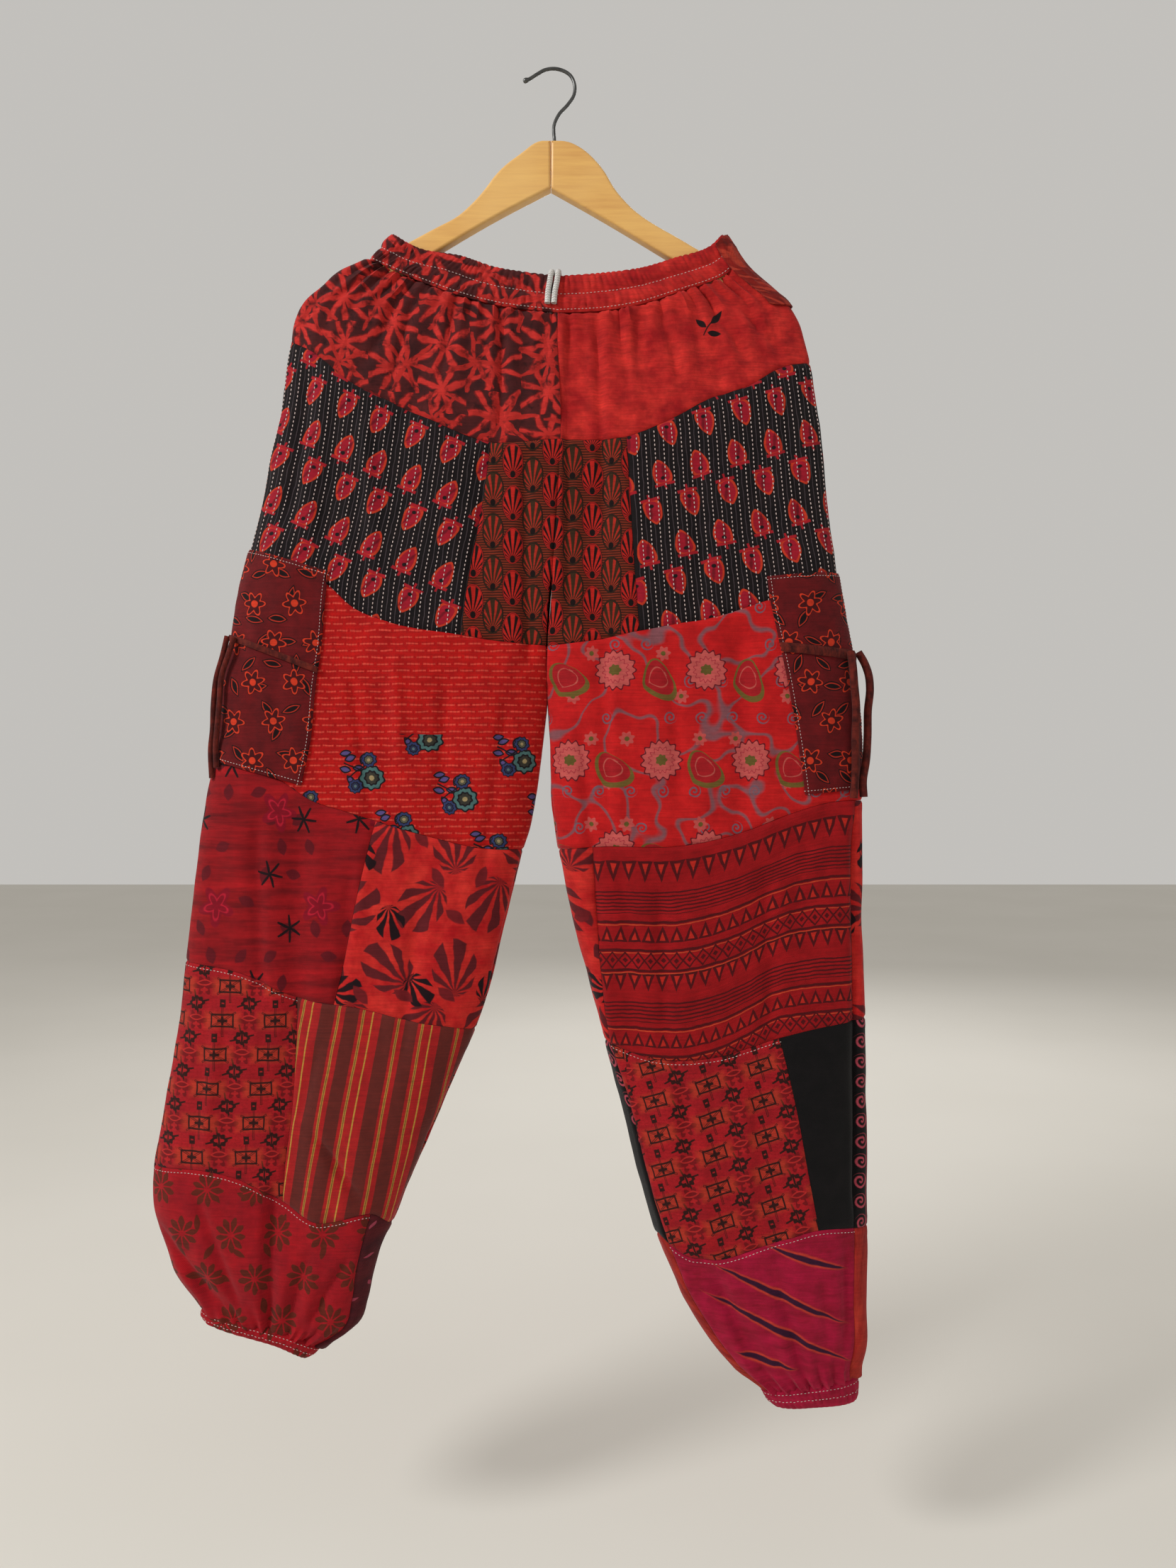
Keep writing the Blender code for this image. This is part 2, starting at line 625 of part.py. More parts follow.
def make_pockets(collection, materials):
    for half, sizes in POCKETS.items():
        share = np.linspace(0, 1, POCKET_ROWS)
        inner_place = COLUMN_LINES[half]["hip_foot"][1]

        def pocket_heights(place, sizes=sizes, share=share, inner_place=inner_place):
            across = np.clip(np.asarray(place) / inner_place, 0, 1)
            top = sizes["mouth"][0][1] + (sizes["mouth"][1][1] - sizes["mouth"][0][1]) * across
            foot = sizes["bottom"][0][1] + (sizes["bottom"][1][1] - sizes["bottom"][0][1]) * across
            return top + (foot - top) * share

        pocket = materials["pocket"]
        laid_piece(f"pocket_{half}", half, pocket_heights, LAY_GAP, POCKET_WALL, collection, pocket)
        outer, inner, reach = STRAPS[half]

        def strap_heights(place, outer=outer, inner=inner, reach=reach, inner_place=inner_place):
            across = np.clip(np.asarray(place) / inner_place, 0, 1)
            return outer[1] + (inner[1] - outer[1]) * across + np.array([reach, -reach])

        lift = 2 * LAY_GAP + POCKET_WALL
        laid_piece(f"strap_{half}", half, strap_heights, lift, STRAP_WALL, collection, materials["tie"])


def make_patch(collection, material):
    """The patch over the right end of the waistband and the hip's side."""
    places = (0.10, 0.06, 0.03, 0.008, 0.0)
    columns = [("front", place) for place in places] + [("back", place) for place in reversed(places[:-1])]
    share = np.linspace(0, 1, 5)
    points = np.zeros((len(share), len(columns), 3))
    normals = np.zeros_like(points)
    for index, (side, place) in enumerate(columns):
        top = seam_height("right", "band_top", place) - 2
        z = top + (-205 - top) * share
        points[:, index] = cloth_point("right", side, np.full(len(z), place), z)
        normals[:, index] = cloth_normal("right", side, np.full(len(z), place), z)
    inner = points + (BAND_WAVE + LAY_GAP) * normals
    wall("hip_patch", inner + WALL * normals, inner, collection, material)


def smooth_route(route, spacing):
    """Evenly spaced points on a smooth curve through a route's own points."""
    route = np.array(route, float)
    steps = np.linalg.norm(np.diff(route, axis=0), axis=1)
    along = np.concatenate([[0], np.cumsum(steps)])
    fine = np.linspace(0, along[-1], 400)
    curve = np.stack([smooth(fine, along, route[:, axis]) for axis in range(3)], axis=1)
    length = np.concatenate([[0], np.cumsum(np.linalg.norm(np.diff(curve, axis=0), axis=1))])
    at = np.linspace(0, length[-1], max(3, round(length[-1] / spacing) + 1))
    return np.stack([np.interp(at, length, curve[:, axis]) for axis in range(3)], axis=1)


def tube(name, points, radius, collection, material, bevel_resolution=2):
    curve = bpy.data.curves.new(name, "CURVE")
    curve.dimensions = "3D"
    curve.bevel_depth = radius * MM
    curve.bevel_resolution = bevel_resolution
    curve.use_fill_caps = True
    spline = curve.splines.new("POLY")
    spline.points.add(len(points) - 1)
    for target, point in zip(spline.points, points):
        target.co = (*(Vector(point) * MM), 1)
    return place_object(name, curve, collection, material)


def make_cords(collection, materials):
    for name, route in STRING_ROUTES.items():
        points = smooth_route(route, 2 * STRING_RADIUS)
        tube(name, points, STRING_RADIUS, collection, materials["string"])
    for name, route in TIE_ROUTES.items():
        radius = TIE_SIZES[name]
        tube(name, smooth_route(route, 5 * radius), radius, collection, materials["tie"])


def make_arm(name, outline, collection, material):
    """A flat outline, extruded to the wood's thickness with rounded edges."""
    curve = bpy.data.curves.new(name, "CURVE")
    curve.dimensions = "2D"
    curve.fill_mode = "BOTH"
    curve.extrude = (WOOD_THICK / 2 - WOOD_ROUND) * MM
    curve.bevel_depth = WOOD_ROUND * MM
    curve.bevel_resolution = 0
    curve.offset = -WOOD_ROUND * MM
    spline = curve.splines.new("POLY")
    spline.points.add(len(outline) - 1)
    for target, (x, z) in zip(spline.points, outline):
        target.co = (x * MM, z * MM, 0, 1)
    spline.use_cyclic_u = True
    arm = place_object(name, curve, collection, material)
    arm.rotation_euler.x = math.pi / 2
    return arm


def make_hanger(collection, materials):
    gap = SEAM_GAP / 2
    make_arm("arm_left", [(min(x, JOINT_X - gap), z) for x, z in ARM_LEFT], collection, materials["wood"])
    make_arm("arm_right", [(max(x, JOINT_X + gap), z) for x, z in ARM_RIGHT], collection, materials["wood"])
    points = smooth_route([(x, 0, z) for x, z in HOOK_ROUTE], 4 * WIRE_RADIUS)
    hook = tube("hook", points, WIRE_RADIUS, collection, materials["steel"])
    for index, swell in ((-1, 0.9), (-2, HOOK_TIP_SWELL)):
        hook.data.splines[0].points[index].radius = swell


def main():
    for obj in list(bpy.data.objects):
        bpy.data.objects.remove(obj, do_unlink=True)
    collection = bpy.data.collections.new(NAME)
    bpy.context.scene.collection.children.link(collection)
    materials = {name: principled(name, *values) for name, values in CLOTHS.items()}
    materials["string"] = principled("string", "E4E0DA", 0.9)
    materials["wood"] = principled("wood", "E0A850", 0.4)
    materials["steel"] = principled("steel", "B8B8B8", 0.3, 1.0)
    make_waistband(collection, materials)
    make_panels(collection, materials)
    make_cuffs(collection, materials)
    make_pockets(collection, materials)
    make_patch(collection, materials["patch"])
    make_cords(collection, materials)
    make_hanger(collection, materials)


if __name__ == "__main__":
    main()
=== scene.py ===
"""Patchwork harem pants on a wooden hanger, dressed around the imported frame.

Sizes are in millimetres until a mesh is made. The cloth is one surface, worked out from a table of
sections for each half and cut into panels at the seams. "Left" is the side at -X, seen from the front.
"""

import math

import bpy
import numpy as np

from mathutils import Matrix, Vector


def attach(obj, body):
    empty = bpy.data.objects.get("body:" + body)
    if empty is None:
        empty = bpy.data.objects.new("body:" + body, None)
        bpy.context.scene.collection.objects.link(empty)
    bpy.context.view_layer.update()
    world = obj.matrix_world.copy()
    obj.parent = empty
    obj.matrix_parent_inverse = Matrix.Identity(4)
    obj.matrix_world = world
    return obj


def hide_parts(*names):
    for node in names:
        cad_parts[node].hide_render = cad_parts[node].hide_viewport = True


bl_info = {
    "name": "Patchwork pants",
    "version": (1, 0, 0),
    "blender": (4, 5, 0),
    "location": "View3D > Sidebar > Pants",
    "description": "Dresses the packed frame as patchwork pants on a wooden hanger",
    "category": "Object",
}

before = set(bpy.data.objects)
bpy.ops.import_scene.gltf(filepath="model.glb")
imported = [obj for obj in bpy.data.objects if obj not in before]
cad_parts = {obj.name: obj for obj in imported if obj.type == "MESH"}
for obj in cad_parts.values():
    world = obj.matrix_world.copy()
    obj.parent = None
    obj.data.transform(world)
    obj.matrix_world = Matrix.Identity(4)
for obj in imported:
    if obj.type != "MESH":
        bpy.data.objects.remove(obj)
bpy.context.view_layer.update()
BODY = "root"
MM = 0.001
ROUNDING = 2.2
CROTCH_Z = -529.0
CROTCH_RISE = 90.0
SEAM_GAP = 0.3
FOLD_FADE = 45.0

# Height, outer edge, inner edge (the centre line above the crotch), half depth, edge rounding.
SECTIONS = {
    "left": [
        (-140, -136, 3, 8.1, 10), (-152, -146, 3, 8.1, 10), (-165, -157, 3, 8.1, 10),
        (-177, -181, 4, 8.6, 16), (-189, -197, 4, 9.2, 24), (-201, -213, 4, 9.8, 32),
        (-214, -220, 4, 10.5, 38), (-236, -225, 4, 12, 44),
        (-299, -235, 7, 16, 52), (-372, -249, 4, 19, 58), (-445, -269, -1, 21, 62), (-506, -276, -4, 22, 64),
        (-529, -281, -4, 22, 64), (-580, -286, -9, 22, 64), (-628, -297, -16, 22, 66),
        (-702, -307, -35, 22, 66), (-811, -319, -62, 22, 66), (-884, -331, -92, 22, 66),
        (-958, -343, -124, 23, 66), (-982, -342, -134, 23, 66), (-1006, -334, -144, 23, 64),
        (-1031, -325, -152, 22, 60),
        (-1055, -309, -158, 20, 56), (-1080, -295, -171, 17, 46), (-1092, -289, -191, 14, 36),
        (-1106, -284, -212, 12, 26),
    ],
    "right": [
        (-140, 143, 3, 8.1, 10), (-152, 152, 3, 8.1, 10), (-165, 160, 3, 8.1, 10), (-177, 170, 4, 8.6, 16),
        (-189, 185, 4, 9.2, 24), (-201, 201, 4, 9.8, 32), (-214, 210, 4, 10.5, 38), (-236, 217, 4, 12, 44),
        (-299, 227, 7, 16, 52), (-372, 235, 4, 19, 58), (-445, 246, -1, 21, 62), (-506, 256, -4, 22, 64),
        (-529, 259, -4, 22, 64), (-580, 263, -2, 22, 64), (-628, 265, -1, 22, 66), (-702, 265, 11, 22, 66),
        (-811, 268, 38, 22, 66), (-884, 270, 59, 22, 66), (-958, 270, 77, 23, 66), (-1006, 270, 92, 23, 66),
        (-1055, 269, 112, 22, 62), (-1098, 267, 140, 20, 56), (-1116, 262, 158, 18, 46),
        (-1128, 261, 173, 15, 36), (-1147, 260, 190, 12, 26),
    ],
}

# Seam lines from the outer edge to the inner one, as (x, z) on the front.
SEAMS = {
    "left": {
        "band_top": [(-138, -143), (-110, -158), (-79, -163), (-49, -173), (3, -181)],
        "band_foot": [(-157, -166), (-141, -173), (-109, -187), (-79, -198), (-49, -206), (4, -213)],
        "yoke_foot": [(-225, -235), (-205, -246), (-170, -274), (-141, -288), (-109, -303), (-57, -323),
                      (6, -321)],
        "hip_foot": [(-262, -427), (-187, -448), (-171, -463), (-139, -477), (-79, -488), (-48, -493),
                     (-4, -497)],
        "upper_foot": [(-288, -592), (-231, -610), (-203, -628), (-172, -638), (-113, -656), (-54, -669),
                       (-26, -670)],
        "middle_foot": [(-315, -765), (-262, -774), (-217, -794), (-165, -803), (-120, -814), (-57, -824)],
        "lower_foot": [(-343, -940), (-293, -940), (-261, -948), (-229, -967), (-201, -983), (-148, -981),
                       (-138, -991)],
        "foot_end": [(-303, -1066), (-199, -1098)],
        "cuff_end": [(-299, -1074), (-212, -1106)],
    },
    "right": {
        "band_top": [(144, -143), (134, -155), (104, -165), (73, -174), (43, -178), (3, -181)],
        "band_foot": [(161, -166), (148, -179), (134, -186), (104, -196), (73, -206), (43, -211), (4, -213)],
        "yoke_foot": [(220, -253), (196, -259), (165, -277), (134, -287), (104, -303), (63, -320), (6, -321)],
        "hip_foot": [(245, -441), (181, -459), (134, -474), (104, -479), (73, -485), (32, -493), (-4, -497)],
        "upper_foot": [(265, -628), (240, -629), (196, -641), (165, -653), (111, -666), (44, -667),
                       (5, -670)],
        "middle_foot": [(268, -814), (226, -820), (193, -828), (134, -845), (74, -844), (43, -834)],
        "lower_foot": [(270, -992), (225, -990), (180, -1003), (134, -1016), (107, -1012), (91, -1000)],
        "foot_end": [(261, -1122), (182, -1134)],
        "cuff_end": [(260, -1142), (190, -1147)],
    },
}

# Places of the column lines on each seam: side wrap, outer, inner, inseam wrap.
COLUMN_LINES = {
    "left": {
        "band_foot": (0.03, 0.30, 0.74, 0.97), "yoke_foot": (0.03, 0.295, 0.76, 0.97),
        "hip_foot": (0.03, 0.295, 0.727, 0.97), "upper_foot": (0.03, 0.295, 0.537, 0.96),
        "middle_foot": (0.03, 0.387, 0.514, 0.95), "lower_foot": (0.03, 0.534, 0.75, 0.90),
        "foot_end": (0.04, 0.45, 0.75, 0.93),
    },
    "right": {
        "band_foot": (0.045, 0.27, 0.74, 0.97), "yoke_foot": (0.045, 0.27, 0.749, 0.97),
        "hip_foot": (0.045, 0.26, 0.70, 0.96), "upper_foot": (0.03, 0.19, 0.60, 0.886),
        "middle_foot": (0.045, 0.341, 0.70, 0.985), "lower_foot": (0.075, 0.248, 0.70, 0.965),
        "foot_end": (0.08, 0.30, 0.70, 0.93),
    },
}

# Tiers from the waist down: seam above, seam below.
TIERS = {
    "yoke": ("band_foot", "yoke_foot"),
    "hip": ("yoke_foot", "hip_foot"),
    "upper": ("hip_foot", "upper_foot"),
    "middle": ("upper_foot", "middle_foot"),
    "lower": ("middle_foot", "lower_foot"),
    "foot": ("lower_foot", "foot_end"),
}

# Largest folds: half, side, top (x, z), bottom (x, z), half width, depth (inwards is positive).
FOLDS = [
    ("left", "front", (-100, -200), (-128, -330), 11, 3.0),
    ("left", "front", (-60, -210), (-76, -300), 9, 2.4),
    ("left", "front", (-20, -216), (-26, -330), 9, 2.6),
    ("left", "front", (-186, -290), (-190, -420), 11, 3.0),
    ("left", "front", (-150, -510), (-138, -640), 12, 4.0),
    ("left", "front", (-212, -640), (-228, -1020), 13, 5.0),
    ("left", "front", (-205, -900), (-160, -975), 12, 3.0),
    ("left", "front", (-330, -990), (-275, -1070), 12, 4.0),
    ("right", "front", (20, -214), (30, -490), 11, 4.5),
    ("right", "front", (70, -208), (90, -320), 10, 2.6),
    ("right", "front", (110, -200), (150, -300), 11, 3.0),
    ("right", "front", (40, -320), (46, -700), 11, 4.0),
    ("right", "front", (168, -300), (196, -430), 12, 2.6),
    ("right", "front", (158, -470), (160, -660), 12, 3.6),
    ("right", "front", (60, -670), (66, -860), 10, 3.4),
    ("right", "front", (120, -1010), (196, -1130), 12, 4.0),
    ("left", "back", (-90, -200), (-110, -420), 12, 3.4),
    ("left", "back", (-190, -620), (-215, -980), 14, 4.4),
    ("right", "back", (80, -205), (105, -430), 12, 3.4),
    ("right", "back", (150, -560), (160, -900), 14, 4.2),
]

# Creases too small for the solids, in the same columns; a negative depth is a ridge.
CREASES = [
    ("left", "front", (-130, -190), (-160, -260), 4, 1.6),
    ("left", "front", (-118, -192), (-142, -290), 3.5, 1.4),
    ("left", "front", (-84, -200), (-98, -280), 4, 1.5),
    ("left", "front", (-42, -208), (-46, -330), 4, 1.8),
    ("left", "front", (-8, -214), (-10, -300), 4, 1.6),
    ("left", "front", (-206, -250), (-224, -400), 7, 1.6),
    ("left", "front", (-160, -300), (-150, -440), 6, -1.2),
    ("left", "front", (-60, -330), (-66, -470), 6, 1.2),
    ("left", "front", (-24, -330), (-20, -520), 5, 1.8),
    ("left", "front", (-170, -520), (-150, -660), 5, 1.4),
    ("left", "front", (-132, -500), (-128, -600), 5, -1.4),
    ("left", "front", (-90, -520), (-96, -650), 6, 1.2),
    ("left", "front", (-38, -540), (-60, -700), 5, 1.2),
    ("left", "front", (-250, -640), (-246, -800), 6, 1.2),
    ("left", "front", (-168, -680), (-180, -800), 6, 1.4),
    ("left", "front", (-110, -700), (-130, -860), 6, 1.2),
    ("left", "front", (-282, -800), (-292, -930), 6, -1.2),
    ("left", "front", (-203, -906), (-159, -973), 4, 1.8),
    ("left", "front", (-196, -830), (-214, -900), 5, 1.2),
    ("left", "front", (-235, -948), (-242, -1086), 6, 2.6),
    ("left", "front", (-300, -960), (-262, -1070), 5, 1.6),
    ("left", "front", (-338, -985), (-278, -1068), 5, 1.8),
    ("left", "front", (-200, -1000), (-232, -1086), 6, 1.6),
    ("left", "front", (-170, -1010), (-218, -1090), 5, 1.6),
    ("right", "front", (36, -212), (44, -400), 4, 1.8),
    ("right", "front", (12, -216), (14, -480), 4, 1.6),
    ("right", "front", (56, -210), (66, -290), 4, 1.6),
    ("right", "front", (92, -204), (110, -280), 4, 1.5),
    ("right", "front", (128, -192), (170, -262), 4, 1.6),
    ("right", "front", (142, -186), (196, -250), 4, 1.4),
    ("right", "front", (120, -330), (128, -450), 6, 1.2),
    ("right", "front", (196, -290), (216, -420), 6, 1.4),
    ("right", "front", (52, -500), (56, -660), 5, -1.2),
    ("right", "front", (100, -500), (108, -640), 6, 1.2),
    ("right", "front", (24, -560), (40, -760), 5, 1.6),
    ("right", "front", (90, -700), (96, -830), 6, 1.2),
    ("right", "front", (180, -680), (186, -830), 7, 1.4),
    ("right", "front", (256, -640), (258, -980), 4, 2.0),
    ("right", "front", (110, -860), (120, -990), 6, 1.2),
    ("right", "front", (160, -860), (168, -980), 7, -1.2),
    ("right", "front", (136, -1026), (172, -1110), 5, 1.8),
    ("right", "front", (186, -1020), (214, -1118), 6, 1.8),
    ("right", "front", (228, -1020), (236, -1120), 6, 1.6),
    ("right", "front", (250, -1000), (250, -1120), 5, 1.6),
    ("left", "back", (-40, -210), (-52, -330), 6, 2.0),
    ("left", "back", (-140, -230), (-170, -420), 7, 1.8),
    ("left", "back", (-70, -500), (-90, -700), 8, 1.8),
    ("left", "back", (-240, -540), (-262, -760), 7, 1.6),
    ("left", "back", (-150, -760), (-180, -960), 7, 1.8),
    ("left", "back", (-270, -860), (-266, -1050), 8, 2.0),
    ("right", "back", (36, -214), (44, -360), 6, 2.0),
    ("right", "back", (130, -220), (168, -420), 7, 1.8),
    ("right", "back", (70, -520), (84, -720), 8, 1.8),
    ("right", "back", (216, -520), (224, -760), 7, 1.6),
    ("right", "back", (110, -800), (136, -990), 7, 1.8),
    ("right", "back", (210, -900), (220, -1090), 8, 2.0),
]

# Front panels: node, half, tier, first and last column line, cloth.
FRONT_PANELS = [
    ("yoke_front_left", "left", "yoke", 0, 5, "batik"),
    ("hip_front_left", "left", "hip", 0, 3, "kantha"),
    ("centre_left", "left", "hip", 3, 5, "fans"),
    ("upper_front_left", "left", "upper", 0, 5, "dobby"),
    ("middle_outer_left", "left", "middle", 0, 3, "slub"),
    ("middle_inner_left", "left", "middle", 3, 5, "leaves"),
    ("lower_outer_left", "left", "lower", 0, 2, "tiles"),
    ("lower_inner_left", "left", "lower", 2, 5, "stripes"),
    ("foot_front_left", "left", "foot", 0, 4, "damask"),
    ("yoke_front_right", "right", "yoke", 0, 5, "tie_dye"),
    ("hip_front_right", "right", "hip", 0, 3, "kantha"),
    ("centre_right", "right", "hip", 3, 5, "fans"),
    ("upper_front_right", "right", "upper", 0, 5, "floral"),
    ("middle_front_right", "right", "middle", 1, 4, "borders"),
    ("lower_front_right", "right", "lower", 2, 4, "tiles"),
    ("lower_outer_right", "right", "lower", 1, 2, "black"),
    ("foot_front_right", "right", "foot", 1, 4, "magenta"),
]

# Backs: node, half, tier, line on the front that they reach round the inner edge, and round the side.
BACK_PANELS = [
    ("yoke_back_left", "left", "yoke", 5, 0, "batik"),
    ("hip_back_left", "left", "hip", 5, 0, "kantha"),
    ("upper_back_left", "left", "upper", 5, 0, "dobby"),
    ("middle_back_left", "left", "middle", 5, 0, "leaves"),
    ("lower_back_left", "left", "lower", 5, 0, "tiles"),
    ("foot_back_left", "left", "foot", 4, 0, "maroon"),
    ("yoke_back_right", "right", "yoke", 5, 0, "tie_dye"),
    ("hip_back_right", "right", "hip", 5, 0, "kantha"),
    ("upper_back_right", "right", "upper", 5, 0, "floral"),
    ("middle_back_right", "right", "middle", 4, 1, "leaves"),
    ("lower_back_right", "right", "lower", 4, 1, "wrap"),
    ("foot_back_right", "right", "foot", 4, 1, "coral"),
]

# Pockets: the mouth and the bottom as (x, z) at the outer and the inner edge.
POCKETS = {
    "left": {"mouth": ((-262, -413), (-187, -435)), "bottom": ((-284, -594), (-213, -615))},
    "right": {"mouth": ((242, -434), (180, -439)), "bottom": ((262, -618), (214, -623))},
}
STRAPS = {
    "left": ((-276, -489), (-197, -518), 2.6),
    "right": ((255, -505), (198, -499), 4.0),
}

# Routes of the ties that hang from the strips, and of the drawstring's two strands, as (x, y, z).
TIE_ROUTES = {
    "tie_left_inner": (2.4, [(-269.6, -17.5, -490), (-273, -19, -503), (-279, -18, -520), (-282, -17, -547),
                             (-284, -16.5, -568), (-285.5, -15.5, -583), (-285, -15.5, -600)]),
    "tie_left_outer": (2.4, [(-277.6, -9.3, -488), (-281, -10.2, -504), (-286.5, -10.5, -524),
                             (-289, -10.5, -548), (-289.5, -11, -568), (-291, -11, -583),
                             (-290, -11.5, -609)]),
    "tie_right_inner": (3.4, [(252.2, -17.2, -502), (253.5, -19.2, -514), (254.5, -20.5, -530),
                              (256, -21, -549), (255.5, -21, -573), (255.5, -21, -602), (254, -21, -626)]),
    "tie_right_outer": (3.4, [(260.2, -10.5, -502), (265, -12, -511), (268.5, -13, -522), (269.5, -13, -532),
                              (267.5, -14, -552), (267, -15, -573), (265.5, -16, -594), (262.5, -17.5, -612),
                              (263, -18, -625)]),
}
STRING_ROUTES = {
    "drawstring_left": (2.4, [(-4.5, -14.4, -206), (-4, -14.1, -197), (-2.5, -13.4, -187),
                              (-1.2, -11.6, -179.2),
                              (-0.6, -8, -176.8), (-0.6, -5, -178.8), (-1, -3.9, -188), (-2, -3.7, -204),
                              (-4, -3.6, -222)]),
    "drawstring_right": (2.4, [(1, -14.4, -206), (1.8, -14.1, -197), (3.6, -13.4, -187), (4.6, -11.6, -179.2),
                               (5, -8, -176.8), (5, -5, -178.8), (4.6, -3.9, -188), (5, -3.7, -206),
                               (6.5, -3.6, -230)]),
}

# Hanger: outlines of the arms, and the wire's route.
WOOD_THICK = 12.0
JOINT_X = -1.8
ARM_LEFT = [(JOINT_X, -62.8), (-14, -62.8), (-27.5, -73.8), (-39.7, -82.4), (-50, -92.7), (-58.6, -104.9),
            (-68.9, -116.5), (-82.4, -128.7), (-100, -137.3), (-119, -147.6), (-140, -159), (-146, -166),
            (-146, -178), (-140, -182), (-118, -169), (-98.8, -157.4), (-65.3, -137.3), (-37.8, -122),
            (JOINT_X, -103.7)]
ARM_RIGHT = [(JOINT_X, -62.8), (12, -62.8), (23.8, -68.3), (34.2, -76.9), (44.5, -89.1), (51.9, -103.1),
             (60.4, -113.5), (72, -125), (89.7, -136.6), (106.8, -145.8), (123.8, -156.2), (143, -166),
             (149, -173), (149, -184), (142, -187), (124, -177), (104.3, -165.9), (63.4, -140.9),
             (31.1, -122), (JOINT_X, -103.7)]
WIRE_RADIUS = 1.5
HOOK_ROUTE = [(1.2, -62.4), (1.2, -46), (5, -38), (13, -29), (18, -21), (18.6, -13), (14.5, -4), (8, 0),
              (0, 1.5), (-7.5, 0.2), (-14, -3.4), (-20, -7.2), (-25.6, -9.5)]


def smooth(at, places, values):
    """A cubic curve through the values, read at each place."""
    at = np.clip(np.asarray(at, float), min(places), max(places))
    order = np.argsort(places)
    places = np.asarray(places, float)[order]
    values = np.asarray(values, float)[order]
    slopes = np.gradient(values, places)
    index = np.clip(np.searchsorted(places, at) - 1, 0, len(places) - 2)
    span = places[index + 1] - places[index]
    t = (at - places[index]) / span
    return (
        values[index] * (1 + 2 * t) * (1 - t) ** 2
        + values[index + 1] * t * t * (3 - 2 * t)
        + span * slopes[index] * t * (1 - t) ** 2
        - span * slopes[index + 1] * t * t * (1 - t)
    )


def section(half, z):
    """Outer edge, inner edge, half depth and edge rounding at a height."""
    rows = np.array(SECTIONS[half], float)
    return [smooth(z, rows[:, 0], rows[:, column]) for column in (1, 2, 3, 4)]


def rounding(share):
    flat = np.clip(1 - share, 0, 1)
    return (1 - flat**ROUNDING) ** (1 / ROUNDING)


def fold_depth(folds, half, side, x, z, fade_length=FOLD_FADE):
    total = np.zeros_like(x)
    for fold_half, fold_side, top, bottom, width, depth in folds:
        if (fold_half, fold_side) != (half, side):
            continue
        along = np.clip((z - top[1]) / (bottom[1] - top[1]), 0, 1)
        line = top[0] + (bottom[0] - top[0]) * along
        past = np.maximum(z - top[1], bottom[1] - z)
        fade = np.clip(-past / fade_length, 0, 1)
        total = total + depth * fade * (2 - fade) * np.exp(-(((x - line) / width) ** 2))
    return total


def cloth_point(half, side, place, z):
    """A point of the outer surface: place runs from 0 at the outer edge to 1 at the inner one."""
    place = np.asarray(place, float)
    z = np.asarray(z, float) + 0 * place
    place = place + 0 * z
    outer, inner, depth, edge = section(half, z)
    width = np.abs(inner - outer)
    x = outer + (inner - outer) * place
    joined = np.clip((z - CROTCH_Z) / CROTCH_RISE, 0, 1) ** 0.5
    at_inner = joined + (1 - joined) * rounding((1 - place) * width / edge)
    profile = rounding(place * width / edge) * at_inner
    y = profile * depth - fold_depth(FOLDS, half, side, x, z) * profile**2
    return np.stack([x, -y if side == "front" else y, z], axis=-1)


def cloth_normal(half, side, place, z, step=1e-4):
    """The outward normal there, from differences of the surface."""
    place = np.asarray(place, float)
    across = cloth_point(half, side, np.clip(place + step, 0, 1), z) - cloth_point(
        half, side, np.clip(place - step, 0, 1), z
    )
    up = cloth_point(half, side, place, z + 0.5) - cloth_point(half, side, place, z - 0.5)
    normal = (1 if (half == "left") == (side == "front") else -1) * np.cross(across, up)
    return normal / np.linalg.norm(normal, axis=-1, keepdims=True)


def seam_height(half, seam, place):
    """A seam's height at each place across the half."""
    points = np.array(SEAMS[half][seam], float)
    outer, inner, _, _ = section(half, points[:, 1])
    places = (points[:, 0] - outer) / (inner - outer)
    places[0] = 0
    places[-1] = 1
    return smooth(place, places, points[:, 1])


def line_place(half, seam, line):
    """The place of a column line, which may lie between two of the numbered ones."""
    return np.interp(line, range(6), (0.0,) + COLUMN_LINES[half][seam] + (1.0,))


def hashed(i, j, seed):
    """The same number from 0 to 1 each time for a lattice point."""
    value = np.sin(i * 127.1 + j * 311.7 + seed * 74.7) * 43758.5453
    return value - np.floor(value)


def ripple(a, b, seed):
    """Smooth noise from -1 to 1 that changes over a distance of one."""
    i, j = np.floor(a), np.floor(b)
    u, v = a - i, b - j
    u, v = u * u * (3 - 2 * u), v * v * (3 - 2 * v)
    low = hashed(i, j, seed) * (1 - u) + hashed(i + 1, j, seed) * u
    high = hashed(i, j + 1, seed) * (1 - u) + hashed(i + 1, j + 1, seed) * u
    return 2 * (low * (1 - v) + high * v) - 1


SPACING = {"front": 3.0, "back": 4.2}
CLOTH_WALL = 1.2
# Every depth in CREASES is multiplied by this.
CREASE_SCALE = 2.5
# Every cloth's colour is multiplied by this, so it shows darker than PantsColours gives it.
CLOTH_SHADE = 0.8
BAND_GATHERS = 33
CUFF_GATHERS = 15
CLEAR = 0.9
GRIDS = {}


def along(points, axis):
    """Running length of a grid of points along one axis."""
    steps = np.linalg.norm(np.diff(points, axis=axis), axis=-1)
    start = np.zeros_like(np.take(steps, [0], axis=axis))
    return np.cumsum(np.concatenate([start, steps], axis=axis), axis=axis)


def surface(half, on_front, place, z):
    """Points and outward normals, on the front where on_front says so and on the back elsewhere."""
    pick = on_front[..., None]
    points = np.where(pick, cloth_point(half, "front", place, z), cloth_point(half, "back", place, z))
    normals = np.where(pick, cloth_normal(half, "front", place, z), cloth_normal(half, "back", place, z))
    return points, normals


